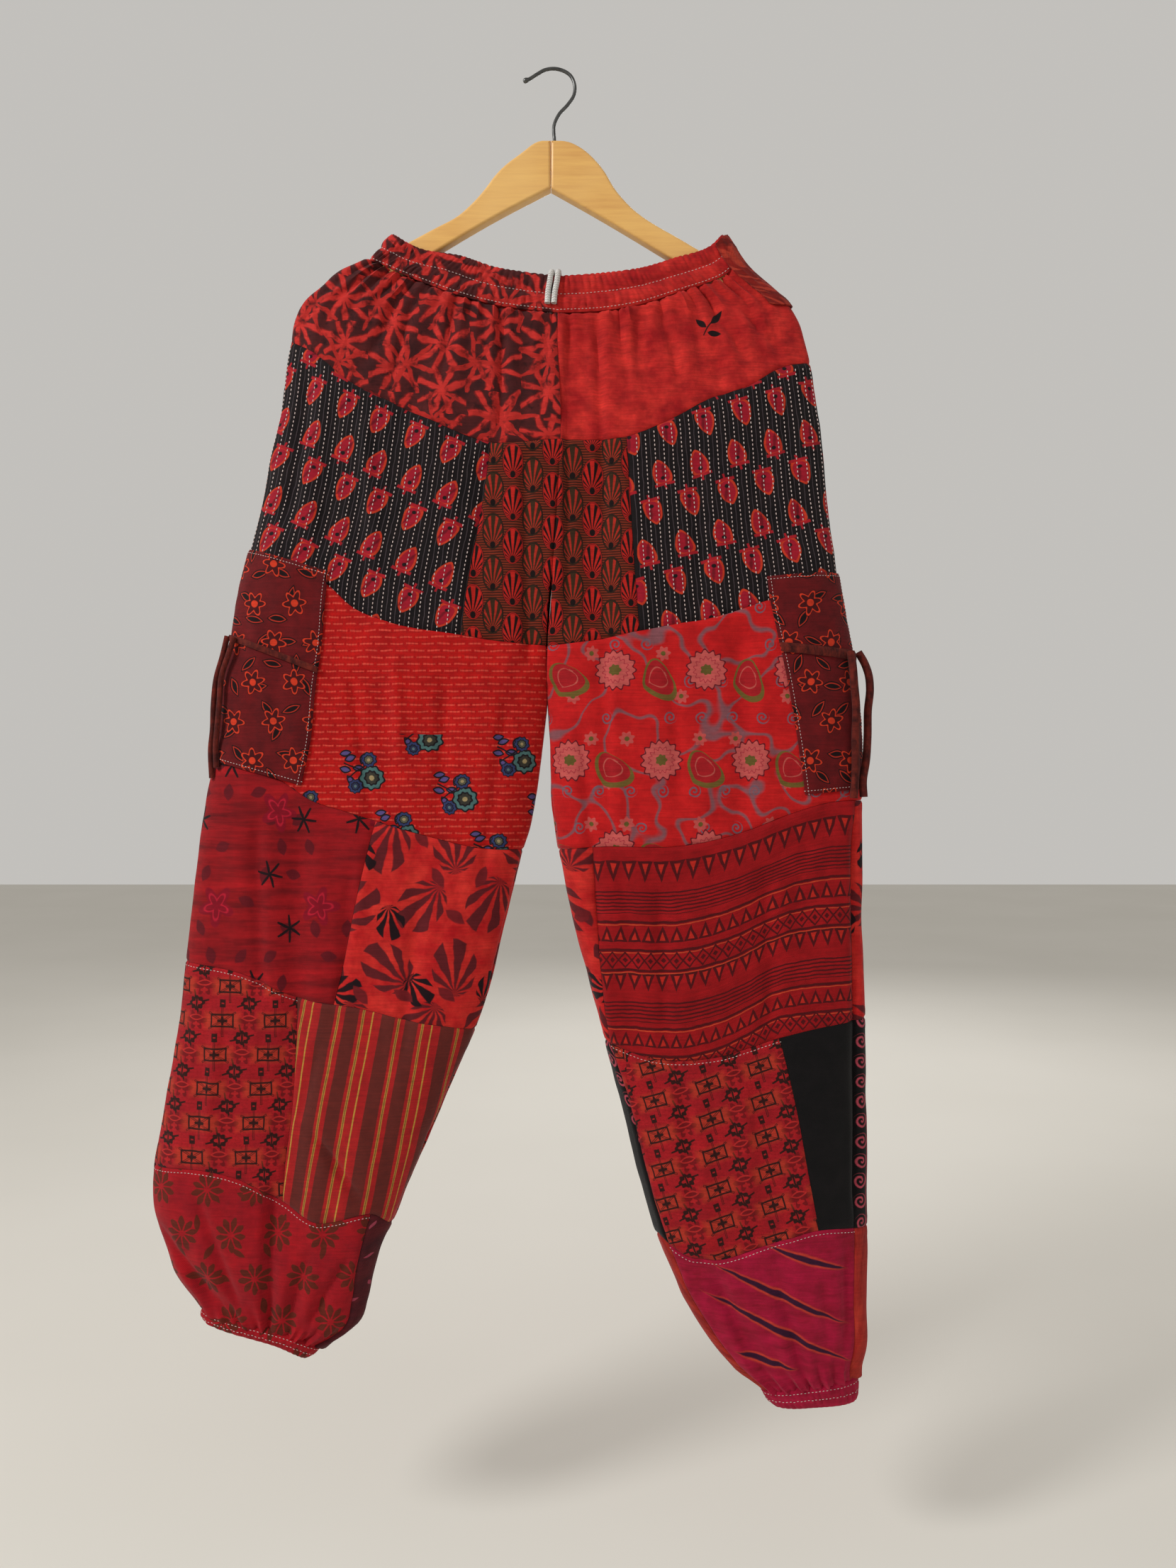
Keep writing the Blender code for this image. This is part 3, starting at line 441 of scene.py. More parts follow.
def relief(half, on_front, place, points, normals, sizes):
    """How far the cloth stands out from the plain surface: creases, gathers and soft crumple."""
    x, z = points[..., 0], points[..., 2]
    creases = np.where(
        on_front,
        fold_depth(CREASES, half, "front", x, z, 30),
        fold_depth(CREASES, half, "back", x, z, 30),
    )
    out = -CREASE_SCALE * creases * normals[..., 1] ** 2
    shift = np.where(on_front, 0.0, 517.0) + (0 if half == "left" else 1301)
    out = out + sizes.crumple * (
        1.3 * ripple((x + shift) / 46, z / 130, 3)
        + 0.8 * ripple((x + shift) / 19 + z / 160, z / 62, 5)
        + 0.35 * ripple((x + shift) / 9 - z / 70, z / 26, 9)
    )
    below = np.maximum(seam_height(half, "band_foot", place) - z, 0)
    lean = 0.35 * ripple(place * 9 + shift, z / 60, 11)
    fine = np.cos(2 * math.pi * (place * BAND_GATHERS + lean))
    broad = np.cos(2 * math.pi * (place * 13 + 0.5 * ripple(place * 5 + shift, z / 90, 12)))
    uneven = 0.65 + 0.5 * ripple(place * 14 + shift, z / 200, 13)
    out = out + sizes.gather * uneven * (1.0 * fine * np.exp(-below / 16) + 1.5 * broad * np.exp(-below / 52))
    above = np.maximum(z - seam_height(half, "foot_end", place), 0)
    tuck = np.cos(2 * math.pi * (place * CUFF_GATHERS + 0.6 * ripple(place * 7 + shift, z / 40, 15)))
    loose = np.cos(2 * math.pi * (place * 7 + 0.6 * ripple(place * 4 + shift, z / 60, 17)))
    return out + sizes.gather * (1.1 * tuck * np.exp(-above / 12) + 1.3 * loose * np.exp(-above / 38))


def cut(half, seams, parts, spacing, edge=(0.9, 2.2)):
    """Columns of a piece from edge to edge: on the front or not, and the places on both seams.

    Parts on the "front" run between column lines, and parts on the "face" or the "back" between places.
    """
    ease = 0.5 - 0.5 * np.cos(math.pi * np.linspace(0, 1, 700))
    lines = [first + (last - first) * ease for _, first, last in parts]
    fronts = np.concatenate([np.full(len(ease), side != "back") for side, _, _ in parts])
    places = []
    for seam in seams:
        runs = [
            line_place(half, seam, line) if side == "front" else line
            for (side, _, _), line in zip(parts, lines)
        ]
        places.append(np.concatenate(runs))
    heights = [seam_height(half, seam, place) for seam, place in zip(seams, places)]
    middle, _ = surface(half, fronts, sum(places) / 2, sum(heights) / 2)
    length = along(middle, 0) + np.arange(len(middle)) * 1e-9
    inside = np.linspace(edge[1], length[-1] - edge[1], max(4, round(length[-1] / spacing)))
    at = np.concatenate([[0, edge[0]], inside, [length[-1] - edge[0], length[-1]]])
    on_front = fronts[np.clip(np.searchsorted(length, at), 0, len(length) - 1)]
    return on_front, [np.interp(at, length, place) for place in places], at


def shell(name, outer, inner, print_map, flip, material, ring=False):
    """A closed wall between two grids, with the print's own map on it, in metres."""
    rows, columns = outer.shape[:2]
    count = rows * columns
    index = np.arange(count).reshape(rows, columns)
    if ring:
        index = np.concatenate([index, index[:, :1]], axis=1)
    a, b, c, d = index[:-1, :-1], index[1:, :-1], index[1:, 1:], index[:-1, 1:]
    face = np.stack([a, b, c, d], axis=-1).reshape(-1, 4)
    rims = [(index[0, 1:], index[0, :-1]), (index[-1, :-1], index[-1, 1:])]
    if not ring:
        rims += [(index[:-1, 0], index[1:, 0]), (index[1:, -1], index[:-1, -1])]
    quads = [face, face[:, ::-1] + count]
    for first, second in rims:
        quads.append(np.stack([second, first, first + count, second + count], axis=-1))
    faces = np.concatenate(quads)
    if flip:
        faces = faces[:, ::-1]
    mesh = bpy.data.meshes.new(name)
    points = np.concatenate([outer.reshape(-1, 3), inner.reshape(-1, 3)]) * MM
    mesh.from_pydata(points.tolist(), [], faces.tolist())
    values = np.concatenate([print_map.reshape(-1, 2)] * 2) * MM
    layer = mesh.uv_layers.new(name="print")
    layer.data.foreach_set("uv", values[faces.ravel()].ravel())
    mesh.shade_smooth()
    mesh.set_sharp_from_angle(angle=math.radians(60))
    mesh.validate()
    return place_object(name, mesh, material)


def place_object(name, data, material):
    """Puts a mesh or a curve in the scene under a name, with its one material."""
    piece = bpy.data.objects.new(name, data)
    data.materials.clear()
    data.materials.append(material)
    bpy.context.scene.collection.objects.link(piece)
    return piece


def dress(piece, node):
    """Makes a piece stand for a node of the frame."""
    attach(piece, BODY)
    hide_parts(node)


def spread(flags, places, heights, share):
    """Place, height and front flag for each point of a grid of rows and columns."""
    share = share[:, None]
    place = places[0] + (places[1] - places[0]) * share
    z = heights[0] + (heights[1] - heights[0]) * share
    return np.broadcast_to(flags, place.shape), place, z


def print_map(points, mode, facing):
    """Where each point lies on its cloth: across from the middle column, and down."""
    across = along(points, 1)
    middle = points.shape[1] // 2
    if mode == "edge":
        return np.stack([across[:, -1:] - across, points[..., 2]], axis=-1)
    if mode == "seam":
        u = facing * (across - across[:, middle : middle + 1]) + points[:, middle : middle + 1, 0]
        return np.stack([u, points[0, middle, 2] - along(points, 0)], axis=-1)
    if mode == "fan":
        row = points.shape[0] // 2
        u = np.broadcast_to(across[row] - across[row, middle], across.shape)
        return np.stack([facing * u + points[row, middle, 0], points[..., 2]], axis=-1)
    u = facing * (across - across[:, middle : middle + 1]) + points[:, middle : middle + 1, 0]
    return np.stack([u, points[..., 2]], axis=-1)


def make_panel(name, half, tier, parts, cloth, sizes, gaps):
    """One panel: the plain surface between its seams, creased, and turned in a little at its edges."""
    spacing = SPACING["front" if name.find("back") < 0 else "back"] * sizes.step
    seams = TIERS[tier]
    flags, places, _ = cut(half, seams, parts, spacing)
    heights = [seam_height(half, seam, place) for seam, place in zip(seams, places)]
    tall = float(np.median(heights[0] - heights[1]))
    inside = np.linspace(2.2, tall - 2.2, max(4, round(tall / spacing)))
    share = np.concatenate([[0, 0.9], inside, [tall - 0.9, tall]]) / tall
    on_front, place, z = spread(flags, places, heights, share)
    points, normals = surface(half, on_front, place, z)
    out = relief(half, on_front, place, points, normals, sizes)
    down, across = along(points, 0), along(points, 1)
    edge = np.minimum(np.minimum(down, down[-1:] - down), np.minimum(across, across[:, -1:] - across))
    pucker = 0.22 * ripple(down / 7, across / 7, 21) * np.exp(-edge / 6)
    out = out + pucker + 0.45 * np.exp(-(((edge - 4.5) / 3) ** 2)) - 0.9 * np.exp(-((edge / 1.5) ** 2))
    points[0, :, 2] -= gaps[0] / 2
    points[-1, :, 2] += gaps[1] / 2
    outer = points + out[..., None] * normals
    for end, inner in ((0, 1), (-1, -2)):
        step = outer[:, inner] - outer[:, end]
        outer[:, end] += SEAM_GAP / 2 * step / np.linalg.norm(step, axis=-1, keepdims=True)
    facing = (1 if half == "left" else -1) * (1 if len(parts) == 1 else -1)
    mapped = print_map(points, {"kantha": "fan", "borders": "seam", "wrap": "edge"}.get(cloth, "square"),
                       facing)
    inner = outer - CLOTH_WALL * normals
    piece = shell(f"{name}_cloth", outer, inner, mapped, half == "right", MATERIALS[cloth])
    dress(piece, name)
    GRIDS[name] = {"points": outer, "normals": normals, "map": mapped}
    lay_flat(outer, with_pieces=sew(name))
    return piece


def lay_flat(points, ring=False, with_pieces=()):
    """Works out the widths and heights of what shows of a piece's cut, from the grid it was made on, and
    keeps neither.
    """
    widths, heights = along(points, 1)[:, -1], along(points, 0)[-1]
    if ring:
        widths = widths + np.linalg.norm(points[:, 0] - points[:, -1], axis=-1)


def make_band(name, half, seams, parts, waves, profile, depth, cloth, sizes, ring=False):
    """A gathered band: puffs that are shallow where the stitching draws the cloth in."""
    step = SPACING["front"] * sizes.step * 0.42
    flags, places, _ = cut(half, seams, parts, step, edge=(0.5, 1.0))
    if ring:
        flags, places = flags[:-1], [place[:-1] for place in places]
    heights = [seam_height(half, seam, place) for seam, place in zip(seams, places)]
    share = np.linspace(0, 1, 1 + 4 * round(5 / sizes.step))
    on_front, place, z = spread(flags, places, heights, share)
    points, normals = surface(half, on_front, place, z)
    shift = np.where(on_front, 0.0, 60.0)
    phase = place * waves + 0.55 * ripple(place * waves * 0.4 + shift, share[:, None] * 1.6, 31)
    puff = np.abs(np.sin(math.pi * phase)) ** 0.75
    uneven = 0.72 + 0.4 * ripple(place * waves * 0.7 + shift, share[:, None] * 2.5, 33)
    swell = np.interp(share, np.linspace(0, 1, len(profile)), profile)[:, None]
    out = depth * (swell * puff * uneven + 0.35 * swell)
    lift = (0 if ring else 0.7) * (puff - 0.5) * np.clip(1 - share[:, None] * 6, 0, 1)
    points[..., 2] += lift
    points[0, :, 2] -= 0.1
    points[-1, :, 2] += 0.5
    outer = points + out[..., None] * normals
    if ring:
        tucked = outer[:1] - 3.4 * normals[:1] + (0, 0, 3.0)
        outer, normals = np.concatenate([tucked, outer]), np.concatenate([normals[:1], normals])
        points = np.concatenate([points[:1] + (0, 0, 3.0), points])
    facing = 1 if half == "left" else -1
    mapped = print_map(points, "square", facing)
    inner = outer - CLOTH_WALL * normals
    piece = shell(f"{name}_cloth", outer, inner, mapped, half == "right", MATERIALS[cloth], ring)
    dress(piece, name)
    GRIDS[name] = {"points": outer, "normals": normals, "map": mapped}
    lay_flat(outer, ring, sew(name))
    return piece


def make_laid(name, half, mouth, bottom, reach, lift, wall, cloth, sizes):
    """A piece that lies on a front panel, made from the panel's points, moved out."""
    inner_place = COLUMN_LINES[half]["hip_foot"][1]
    ease = 0.5 - 0.5 * np.cos(math.pi * np.linspace(0, 1, 700))
    fine = ease * inner_place
    top = np.interp(fine, (0, inner_place), (mouth[0][1], mouth[1][1]))
    foot = np.interp(fine, (0, inner_place), (bottom[0][1], bottom[1][1]))
    middle = cloth_point(half, "front", fine, (top + foot) / 2)
    length = along(middle, 0)
    count = max(8, round(length[-1] / (1.7 * sizes.step)))
    at = np.concatenate([[0, 0.8], np.linspace(2, length[-1] - 2, count), [length[-1] - 0.8, length[-1]]])
    top, foot, line = (np.interp(at, length, values) for values in (top, foot, fine / inner_place))
    tall = float(np.median(top - foot))
    rows = max(5, round(tall / (1.9 * sizes.step)))
    edge = min(2.0, tall / 4)
    share = np.concatenate([[0, edge / 3], np.linspace(edge, tall - edge, rows),
                            [tall - edge / 3, tall]]) / tall
    z = top + (foot - top) * share[:, None]
    place = line * line_inner(half, z)
    points, normals = surface(half, np.ones(z.shape, bool), place, z)
    out = relief(half, np.ones(z.shape, bool), place, points, normals, sizes)
    down, across = along(points, 0), along(points, 1)
    rim = np.minimum(np.minimum(down, down[-1:] - down), np.minimum(across, across[:, -1:] - across))
    out = out + lift + wall + reach * (1 - np.exp(-rim / 5)) - 0.5 * np.exp(-((rim / 1.0) ** 2))
    out = out + 0.25 * ripple(down / 8, across / 8, 41)
    outer = points + out[..., None] * normals
    facing = 1 if half == "left" else -1
    mapped = print_map(points, "square", facing)
    piece = shell(f"{name}_cloth", outer, outer - wall * normals, mapped, half == "right", MATERIALS[cloth])
    dress(piece, name)
    GRIDS[name] = {"points": outer, "normals": normals, "map": mapped}
    return piece


def line_inner(half, z):
    """The place of the pocket's inner edge at a height."""
    seams = ("yoke_foot", "hip_foot", "upper_foot", "middle_foot")
    places = [COLUMN_LINES[half][seam][1] for seam in seams]
    heights = [float(seam_height(half, seam, place)) for seam, place in zip(seams, places)]
    return np.interp(-z, [-height for height in heights], places)


def smooth_route(route, spacing):
    """Evenly spaced points on a smooth curve through a route's own points."""
    route = np.array(route, float)
    steps = np.linalg.norm(np.diff(route, axis=0), axis=1)
    length = np.concatenate([[0], np.cumsum(steps)])
    fine = np.linspace(0, length[-1], 400)
    curve = np.stack([smooth(fine, length, route[:, axis]) for axis in range(3)], axis=1)
    length = along(curve, 0)
    at = np.linspace(0, length[-1], max(3, round(length[-1] / spacing) + 1))
    return np.stack([np.interp(at, length, curve[:, axis]) for axis in range(3)], axis=1)


def tube(name, points, radius, material, swell=None):
    """A round tube as a curve of one open spline."""
    curve = bpy.data.curves.new(name, "CURVE")
    curve.dimensions = "3D"
    curve.bevel_depth = radius * MM
    curve.bevel_resolution = 5
    curve.use_fill_caps = True
    spline = curve.splines.new("POLY")
    spline.points.add(len(points) - 1)
    for index, (target, point) in enumerate(zip(spline.points, points)):
        target.co = (*(point * MM), 1)
        target.radius = 1 if swell is None else swell[index]
    return place_object(name, curve, material)


def to_mesh(piece):
    """Turns a curve, or a piece with modifiers, into a plain mesh at the origin."""
    graph = bpy.context.evaluated_depsgraph_get()
    mesh = bpy.data.meshes.new_from_object(piece.evaluated_get(graph))
    mesh.transform(piece.matrix_world)
    name, material = piece.name, piece.data.materials[0]
    bpy.data.objects.remove(piece, do_unlink=True)
    mesh.shade_smooth()
    mesh.set_sharp_from_angle(angle=math.radians(50))
    return place_object(name, mesh, material)


def linear(colour):
    """sRGB hex to linear red, green and blue."""
    channels = [int(colour[i : i + 2], 16) / 255 for i in (0, 2, 4)]
    return [c / 12.92 if c <= 0.04045 else ((c + 0.055) / 1.055) ** 2.4 for c in channels]


def add(tree, kind, inputs=(), out=0, **settings):
    """Adds a node with its settings, sets or links its inputs by name or number, and gives one output."""
    prefix = "" if kind.startswith(("Geometry", "NodeGroup", "Function")) else "ShaderNode"
    node = tree.nodes.new(prefix + kind)
    for name, value in settings.items():
        setattr(node, name, value)
    for key, value in inputs.items() if isinstance(inputs, dict) else enumerate(inputs):
        if isinstance(value, bpy.types.NodeSocket):
            tree.links.new(value, node.inputs[key])
        elif value is not None:
            node.inputs[key].default_value = value
    return node.outputs[out]


def new_material(name):
    """An empty material with its shader, ready for a colour."""
    material = bpy.data.materials.new(name)
    material.use_nodes = True
    return material, material.node_tree, material.node_tree.nodes["Principled BSDF"]


MATERIALS = {}


def node_group(name, inputs, outputs):
    """An empty shader group with its sockets: the tree, the sockets given to it, and its output node."""
    tree = bpy.data.node_groups.new(name, "ShaderNodeTree")
    for way, sockets in (("INPUT", inputs), ("OUTPUT", outputs)):
        for label in sockets:
            kind = "NodeSocketVector" if label in ("Map", "Local", "Cell") else "NodeSocketFloat"
            tree.interface.new_socket(label, in_out=way, socket_type=kind)
    given = tree.nodes.new("NodeGroupInput").outputs
    return tree, {label: given[label] for label in inputs}, tree.nodes.new("NodeGroupOutput")


def repeat_group():
    """Cuts a cloth into cells: the place in a cell, the cell's numbers and a random number for it."""
    tree, given, result = node_group(
        "repeat", ("Map", "Width", "Height", "Drop", "Slide"), ("Local", "Cell", "Chance")
    )
    across = add(tree, "SeparateXYZ", (given["Map"],))
    u = add(tree, "Math", (across, given["Width"]), operation="DIVIDE")
    v = add(tree, "Math", (across.node.outputs[1], given["Height"]), operation="DIVIDE")
    row = add(tree, "Math", (v,), operation="FLOOR")
    u = add(tree, "Math", (row, given["Slide"], u), operation="MULTIPLY_ADD")
    column = add(tree, "Math", (u,), operation="FLOOR")
    v = add(tree, "Math", (column, given["Drop"], v), operation="MULTIPLY_ADD")
    row = add(tree, "Math", (v,), operation="FLOOR")
    cell = add(tree, "CombineXYZ", (column, row))
    inside = add(tree, "VectorMath", (add(tree, "CombineXYZ", (u, v)), cell), operation="SUBTRACT")
    inside = add(tree, "VectorMath", (inside, (0.5, 0.5, 0)), operation="SUBTRACT")
    size = add(tree, "CombineXYZ", (given["Width"], given["Height"]))
    local = add(tree, "VectorMath", (inside, size), operation="MULTIPLY")
    chance = add(tree, "TexWhiteNoise", {"Vector": cell}, noise_dimensions="2D")
    for index, socket in enumerate((local, cell, chance)):
        tree.links.new(socket, result.inputs[index])
    return tree


def petals(tree, local, x, y, length, width, count, cut):
    """A flower or, with no petals, an ellipse: the petals' edge less the distance from the middle."""
    size = add(tree, "CombineXYZ", (length, width, 1.0))
    scaled = add(tree, "VectorMath", (local, size), operation="DIVIDE")
    far = add(tree, "VectorMath", (scaled,), out=1, operation="LENGTH")
    angle = add(tree, "Math", (y, x), operation="ARCTAN2")
    wave = add(tree, "Math", (add(tree, "Math", (angle, count), operation="MULTIPLY"),), operation="COSINE")
    wave = add(tree, "Math", (wave, -0.5, 0.5), operation="MULTIPLY_ADD")
    notch = add(tree, "Math", (wave, cut), operation="MULTIPLY")
    edge = add(tree, "Math", (notch, -0.5, 0.5), operation="MULTIPLY_ADD")
    return add(tree, "Math", (add(tree, "Math", (edge, far), operation="SUBTRACT"), width),
               operation="MULTIPLY")


def leaf(tree, local, x, y, length, width, count, cut):
    """A leaf pointed at both ends."""
    share = add(tree, "Math", (x, length), operation="DIVIDE")
    share = add(tree, "Math", (share, share), operation="MULTIPLY")
    share = add(tree, "Math", (share, -2.0, 0.5), operation="MULTIPLY_ADD")
    half = add(tree, "Math", (share, width), operation="MULTIPLY")
    return add(tree, "Math", (half, add(tree, "Math", (y,), operation="ABSOLUTE")), operation="SUBTRACT")


def bar(tree, local, x, y, length, width, count, cut):
    """A straight bar."""
    ends = add(tree, "Math", (length, 0.5), operation="MULTIPLY")
    ends = add(tree, "Math", (ends, add(tree, "Math", (x,), operation="ABSOLUTE")), operation="SUBTRACT")
    sides = add(tree, "Math", (width, 0.5), operation="MULTIPLY")
    sides = add(tree, "Math", (sides, add(tree, "Math", (y,), operation="ABSOLUTE")), operation="SUBTRACT")
    return add(tree, "Math", (ends, sides), operation="MINIMUM")


def diamond(tree, local, x, y, length, width, count, cut):
    """A diamond."""
    across = add(tree, "Math", (add(tree, "Math", (x,), operation="ABSOLUTE"), length), operation="DIVIDE")
    up = add(tree, "Math", (add(tree, "Math", (y,), operation="ABSOLUTE"), width), operation="DIVIDE")
    both = add(tree, "Math", (across, up), operation="ADD")
    left = add(tree, "Math", (0.5, both), operation="SUBTRACT")
    return add(tree, "Math", (left, add(tree, "Math", (length, width), operation="MINIMUM")),
               operation="MULTIPLY")


def wedge(tree, local, x, y, length, width, count, cut):
    """A tooth, as tall as its length, that points down."""
    share = add(tree, "Math", (add(tree, "Math", (y, length), operation="DIVIDE"), 0.5), operation="ADD")
    half = add(tree, "Math", (add(tree, "Math", (share, width), operation="MULTIPLY"), 0.5),
               operation="MULTIPLY")
    sides = add(tree, "Math", (half, add(tree, "Math", (x,), operation="ABSOLUTE")), operation="SUBTRACT")
    ends = add(tree, "Math", (length, 0.5), operation="MULTIPLY")
    ends = add(tree, "Math", (ends, add(tree, "Math", (y,), operation="ABSOLUTE")), operation="SUBTRACT")
    return add(tree, "Math", (sides, ends), operation="MINIMUM")


def bud(tree, local, x, y, length, width, count, cut):
    """A closed bud, round above and pointed below."""
    share = add(tree, "Math", (add(tree, "Math", (y, length), operation="DIVIDE"), 0.5), operation="ADD")
    low = add(tree, "Math", (share, 0.001), operation="MAXIMUM")
    high = add(tree, "Math", (add(tree, "Math", (1.0, share), operation="SUBTRACT"), 0.001),
               operation="MAXIMUM")
    low = add(tree, "Math", (low, 0.7), operation="POWER")
    high = add(tree, "Math", (high, 0.35), operation="POWER")
    half = add(tree, "Math", (add(tree, "Math", (low, high), operation="MULTIPLY"), width),
               operation="MULTIPLY")
    sides = add(tree, "Math", (add(tree, "Math", (x,), operation="ABSOLUTE"), -1.0), operation="MULTIPLY")
    sides = add(tree, "Math", (half, 0.97, sides), operation="MULTIPLY_ADD")
    ends = add(tree, "Math", (length, 0.5), operation="MULTIPLY")
    ends = add(tree, "Math", (ends, add(tree, "Math", (y,), operation="ABSOLUTE")), operation="SUBTRACT")
    return add(tree, "Math", (sides, ends), operation="MINIMUM")


def spokes(tree, x, y, count):
    """Distance to the nearest of the lines that leave the middle, and the distance from the middle."""
    far = add(tree, "VectorMath", (add(tree, "CombineXYZ", (x, y)),), out=1, operation="LENGTH")
    angle = add(tree, "Math", (y, x), operation="ARCTAN2")
    turns = add(tree, "Math", (add(tree, "Math", (angle, count), operation="MULTIPLY"), 1 / math.tau),
                operation="MULTIPLY")
    side = add(tree, "Math", (turns,), operation="FRACT")
    side = add(tree, "Math", (add(tree, "Math", (side, 0.5), operation="SUBTRACT"),), operation="ABSOLUTE")
    side = add(tree, "Math", (add(tree, "Math", (side, far), operation="MULTIPLY"), math.tau),
               operation="MULTIPLY")
    return add(tree, "Math", (side, count), operation="DIVIDE"), far


def rays(tree, local, x, y, length, width, count, cut):
    """Lines that leave the middle, and swell on their way by as much as cut says."""
    side, far = spokes(tree, x, y, count)
    share = add(tree, "Math", (far, length), operation="DIVIDE")
    swell = add(tree, "Math", (add(tree, "Math", (share, math.tau), operation="MULTIPLY"),), operation="SINE")
    swell = add(tree, "Math", (swell, cut, 1.0), operation="MULTIPLY_ADD")
    half = add(tree, "Math", (add(tree, "Math", (swell, width), operation="MULTIPLY"), 0.5),
               operation="MULTIPLY")
    ends = add(tree, "Math", (add(tree, "Math", (length, 0.5), operation="MULTIPLY"), far),
               operation="SUBTRACT")
    return add(tree, "Math", (add(tree, "Math", (half, side), operation="SUBTRACT"), ends),
               operation="MINIMUM")


def fan(tree, local, x, y, length, width, count, cut):
    """A shell of ribs that spread from a point near its foot; cut is the share left between them."""
    shell_depth = petals(tree, local, x, y, length, width, 0.0, 0.0)
    foot = add(tree, "Math", (width, 0.44, y), operation="MULTIPLY_ADD")
    side, far = spokes(tree, x, foot, count)
    gap = add(tree, "Math", (add(tree, "Math", (far, cut), operation="MULTIPLY"), math.pi),
              operation="MULTIPLY")
    gap = add(tree, "Math", (gap, count), operation="DIVIDE")
    return add(tree, "Math", (shell_depth, add(tree, "Math", (side, gap), operation="SUBTRACT")),
               operation="MINIMUM")


def curl(tree, local, x, y, length, width, count, cut):
    """A tendril wound one and a half times."""
    far = add(tree, "VectorMath", (add(tree, "CombineXYZ", (x, y)),), out=1, operation="LENGTH")
    pitch = add(tree, "Math", (length, 1 / 3.2), operation="MULTIPLY")
    angle = add(tree, "Math", (add(tree, "Math", (y, x), operation="ARCTAN2"), -1 / math.tau),
                operation="MULTIPLY")
    wound = add(tree, "Math", (add(tree, "Math", (far, pitch), operation="DIVIDE"), angle), operation="ADD")
    side = add(tree, "Math", (add(tree, "Math", (wound,), operation="FRACT"), 0.5), operation="SUBTRACT")
    side = add(tree, "Math", (add(tree, "Math", (side,), operation="ABSOLUTE"), pitch), operation="MULTIPLY")
    half = add(tree, "Math", (width, 0.5), operation="MULTIPLY")
    ends = add(tree, "Math", (add(tree, "Math", (length, 0.5), operation="MULTIPLY"), far),
               operation="SUBTRACT")
    return add(tree, "Math", (add(tree, "Math", (half, side), operation="SUBTRACT"), ends),
               operation="MINIMUM")


def vine(tree, local, x, y, length, width, count, cut):
    """A line that wanders over the cloth, with bends about as long as its length."""
    scale = add(tree, "Math", (1.0, length), operation="DIVIDE")
    height = add(tree, "TexNoise", {"Vector": local, "Scale": scale, "Detail": 1.0, "Roughness": 0.4})
    off = add(tree, "Math", (add(tree, "Math", (height, 0.5), operation="SUBTRACT"),), operation="ABSOLUTE")
    off = add(tree, "Math", (off, length), operation="MULTIPLY")
    return add(tree, "Math", (add(tree, "Math", (width, 0.5), operation="MULTIPLY"), off),
               operation="SUBTRACT")


def blotch(tree, local, x, y, length, width, count, cut):
    """Ragged patches where the noise is above cut; a width other than the length stretches them."""
    size = add(tree, "CombineXYZ", (length, width, 1.0))
    scaled = add(tree, "VectorMath", (local, size), operation="DIVIDE")
    height = add(tree, "TexNoise", {"Vector": scaled, "Scale": 1.0, "Detail": 3.0, "Roughness": 0.6})
    over = add(tree, "Math", (height, cut), operation="SUBTRACT")
    return add(tree, "Math", (over, add(tree, "Math", (length, width), operation="MINIMUM")),
               operation="MULTIPLY")


SHAPES = (petals, leaf, bar, diamond, wedge, bud, rays, fan, curl, vine, blotch)
GROUPS = {}


def make_groups():
    """Makes the node groups that the prints share: each motif gives how deep a place lies inside it."""
    GROUPS["repeat"] = repeat_group()
    for shape in SHAPES:
        tree, given, result = node_group(
            shape.__name__, ("Local", "Length", "Width", "Count", "Cut"), ("Depth",)
        )
        x = add(tree, "SeparateXYZ", (given["Local"],))
        y = x.node.outputs[1]
        sizes = [given[label] for label in ("Length", "Width", "Count", "Cut")]
        tree.links.new(shape(tree, given["Local"], x, y, *sizes), result.inputs[0])
        GROUPS[shape.__name__] = tree


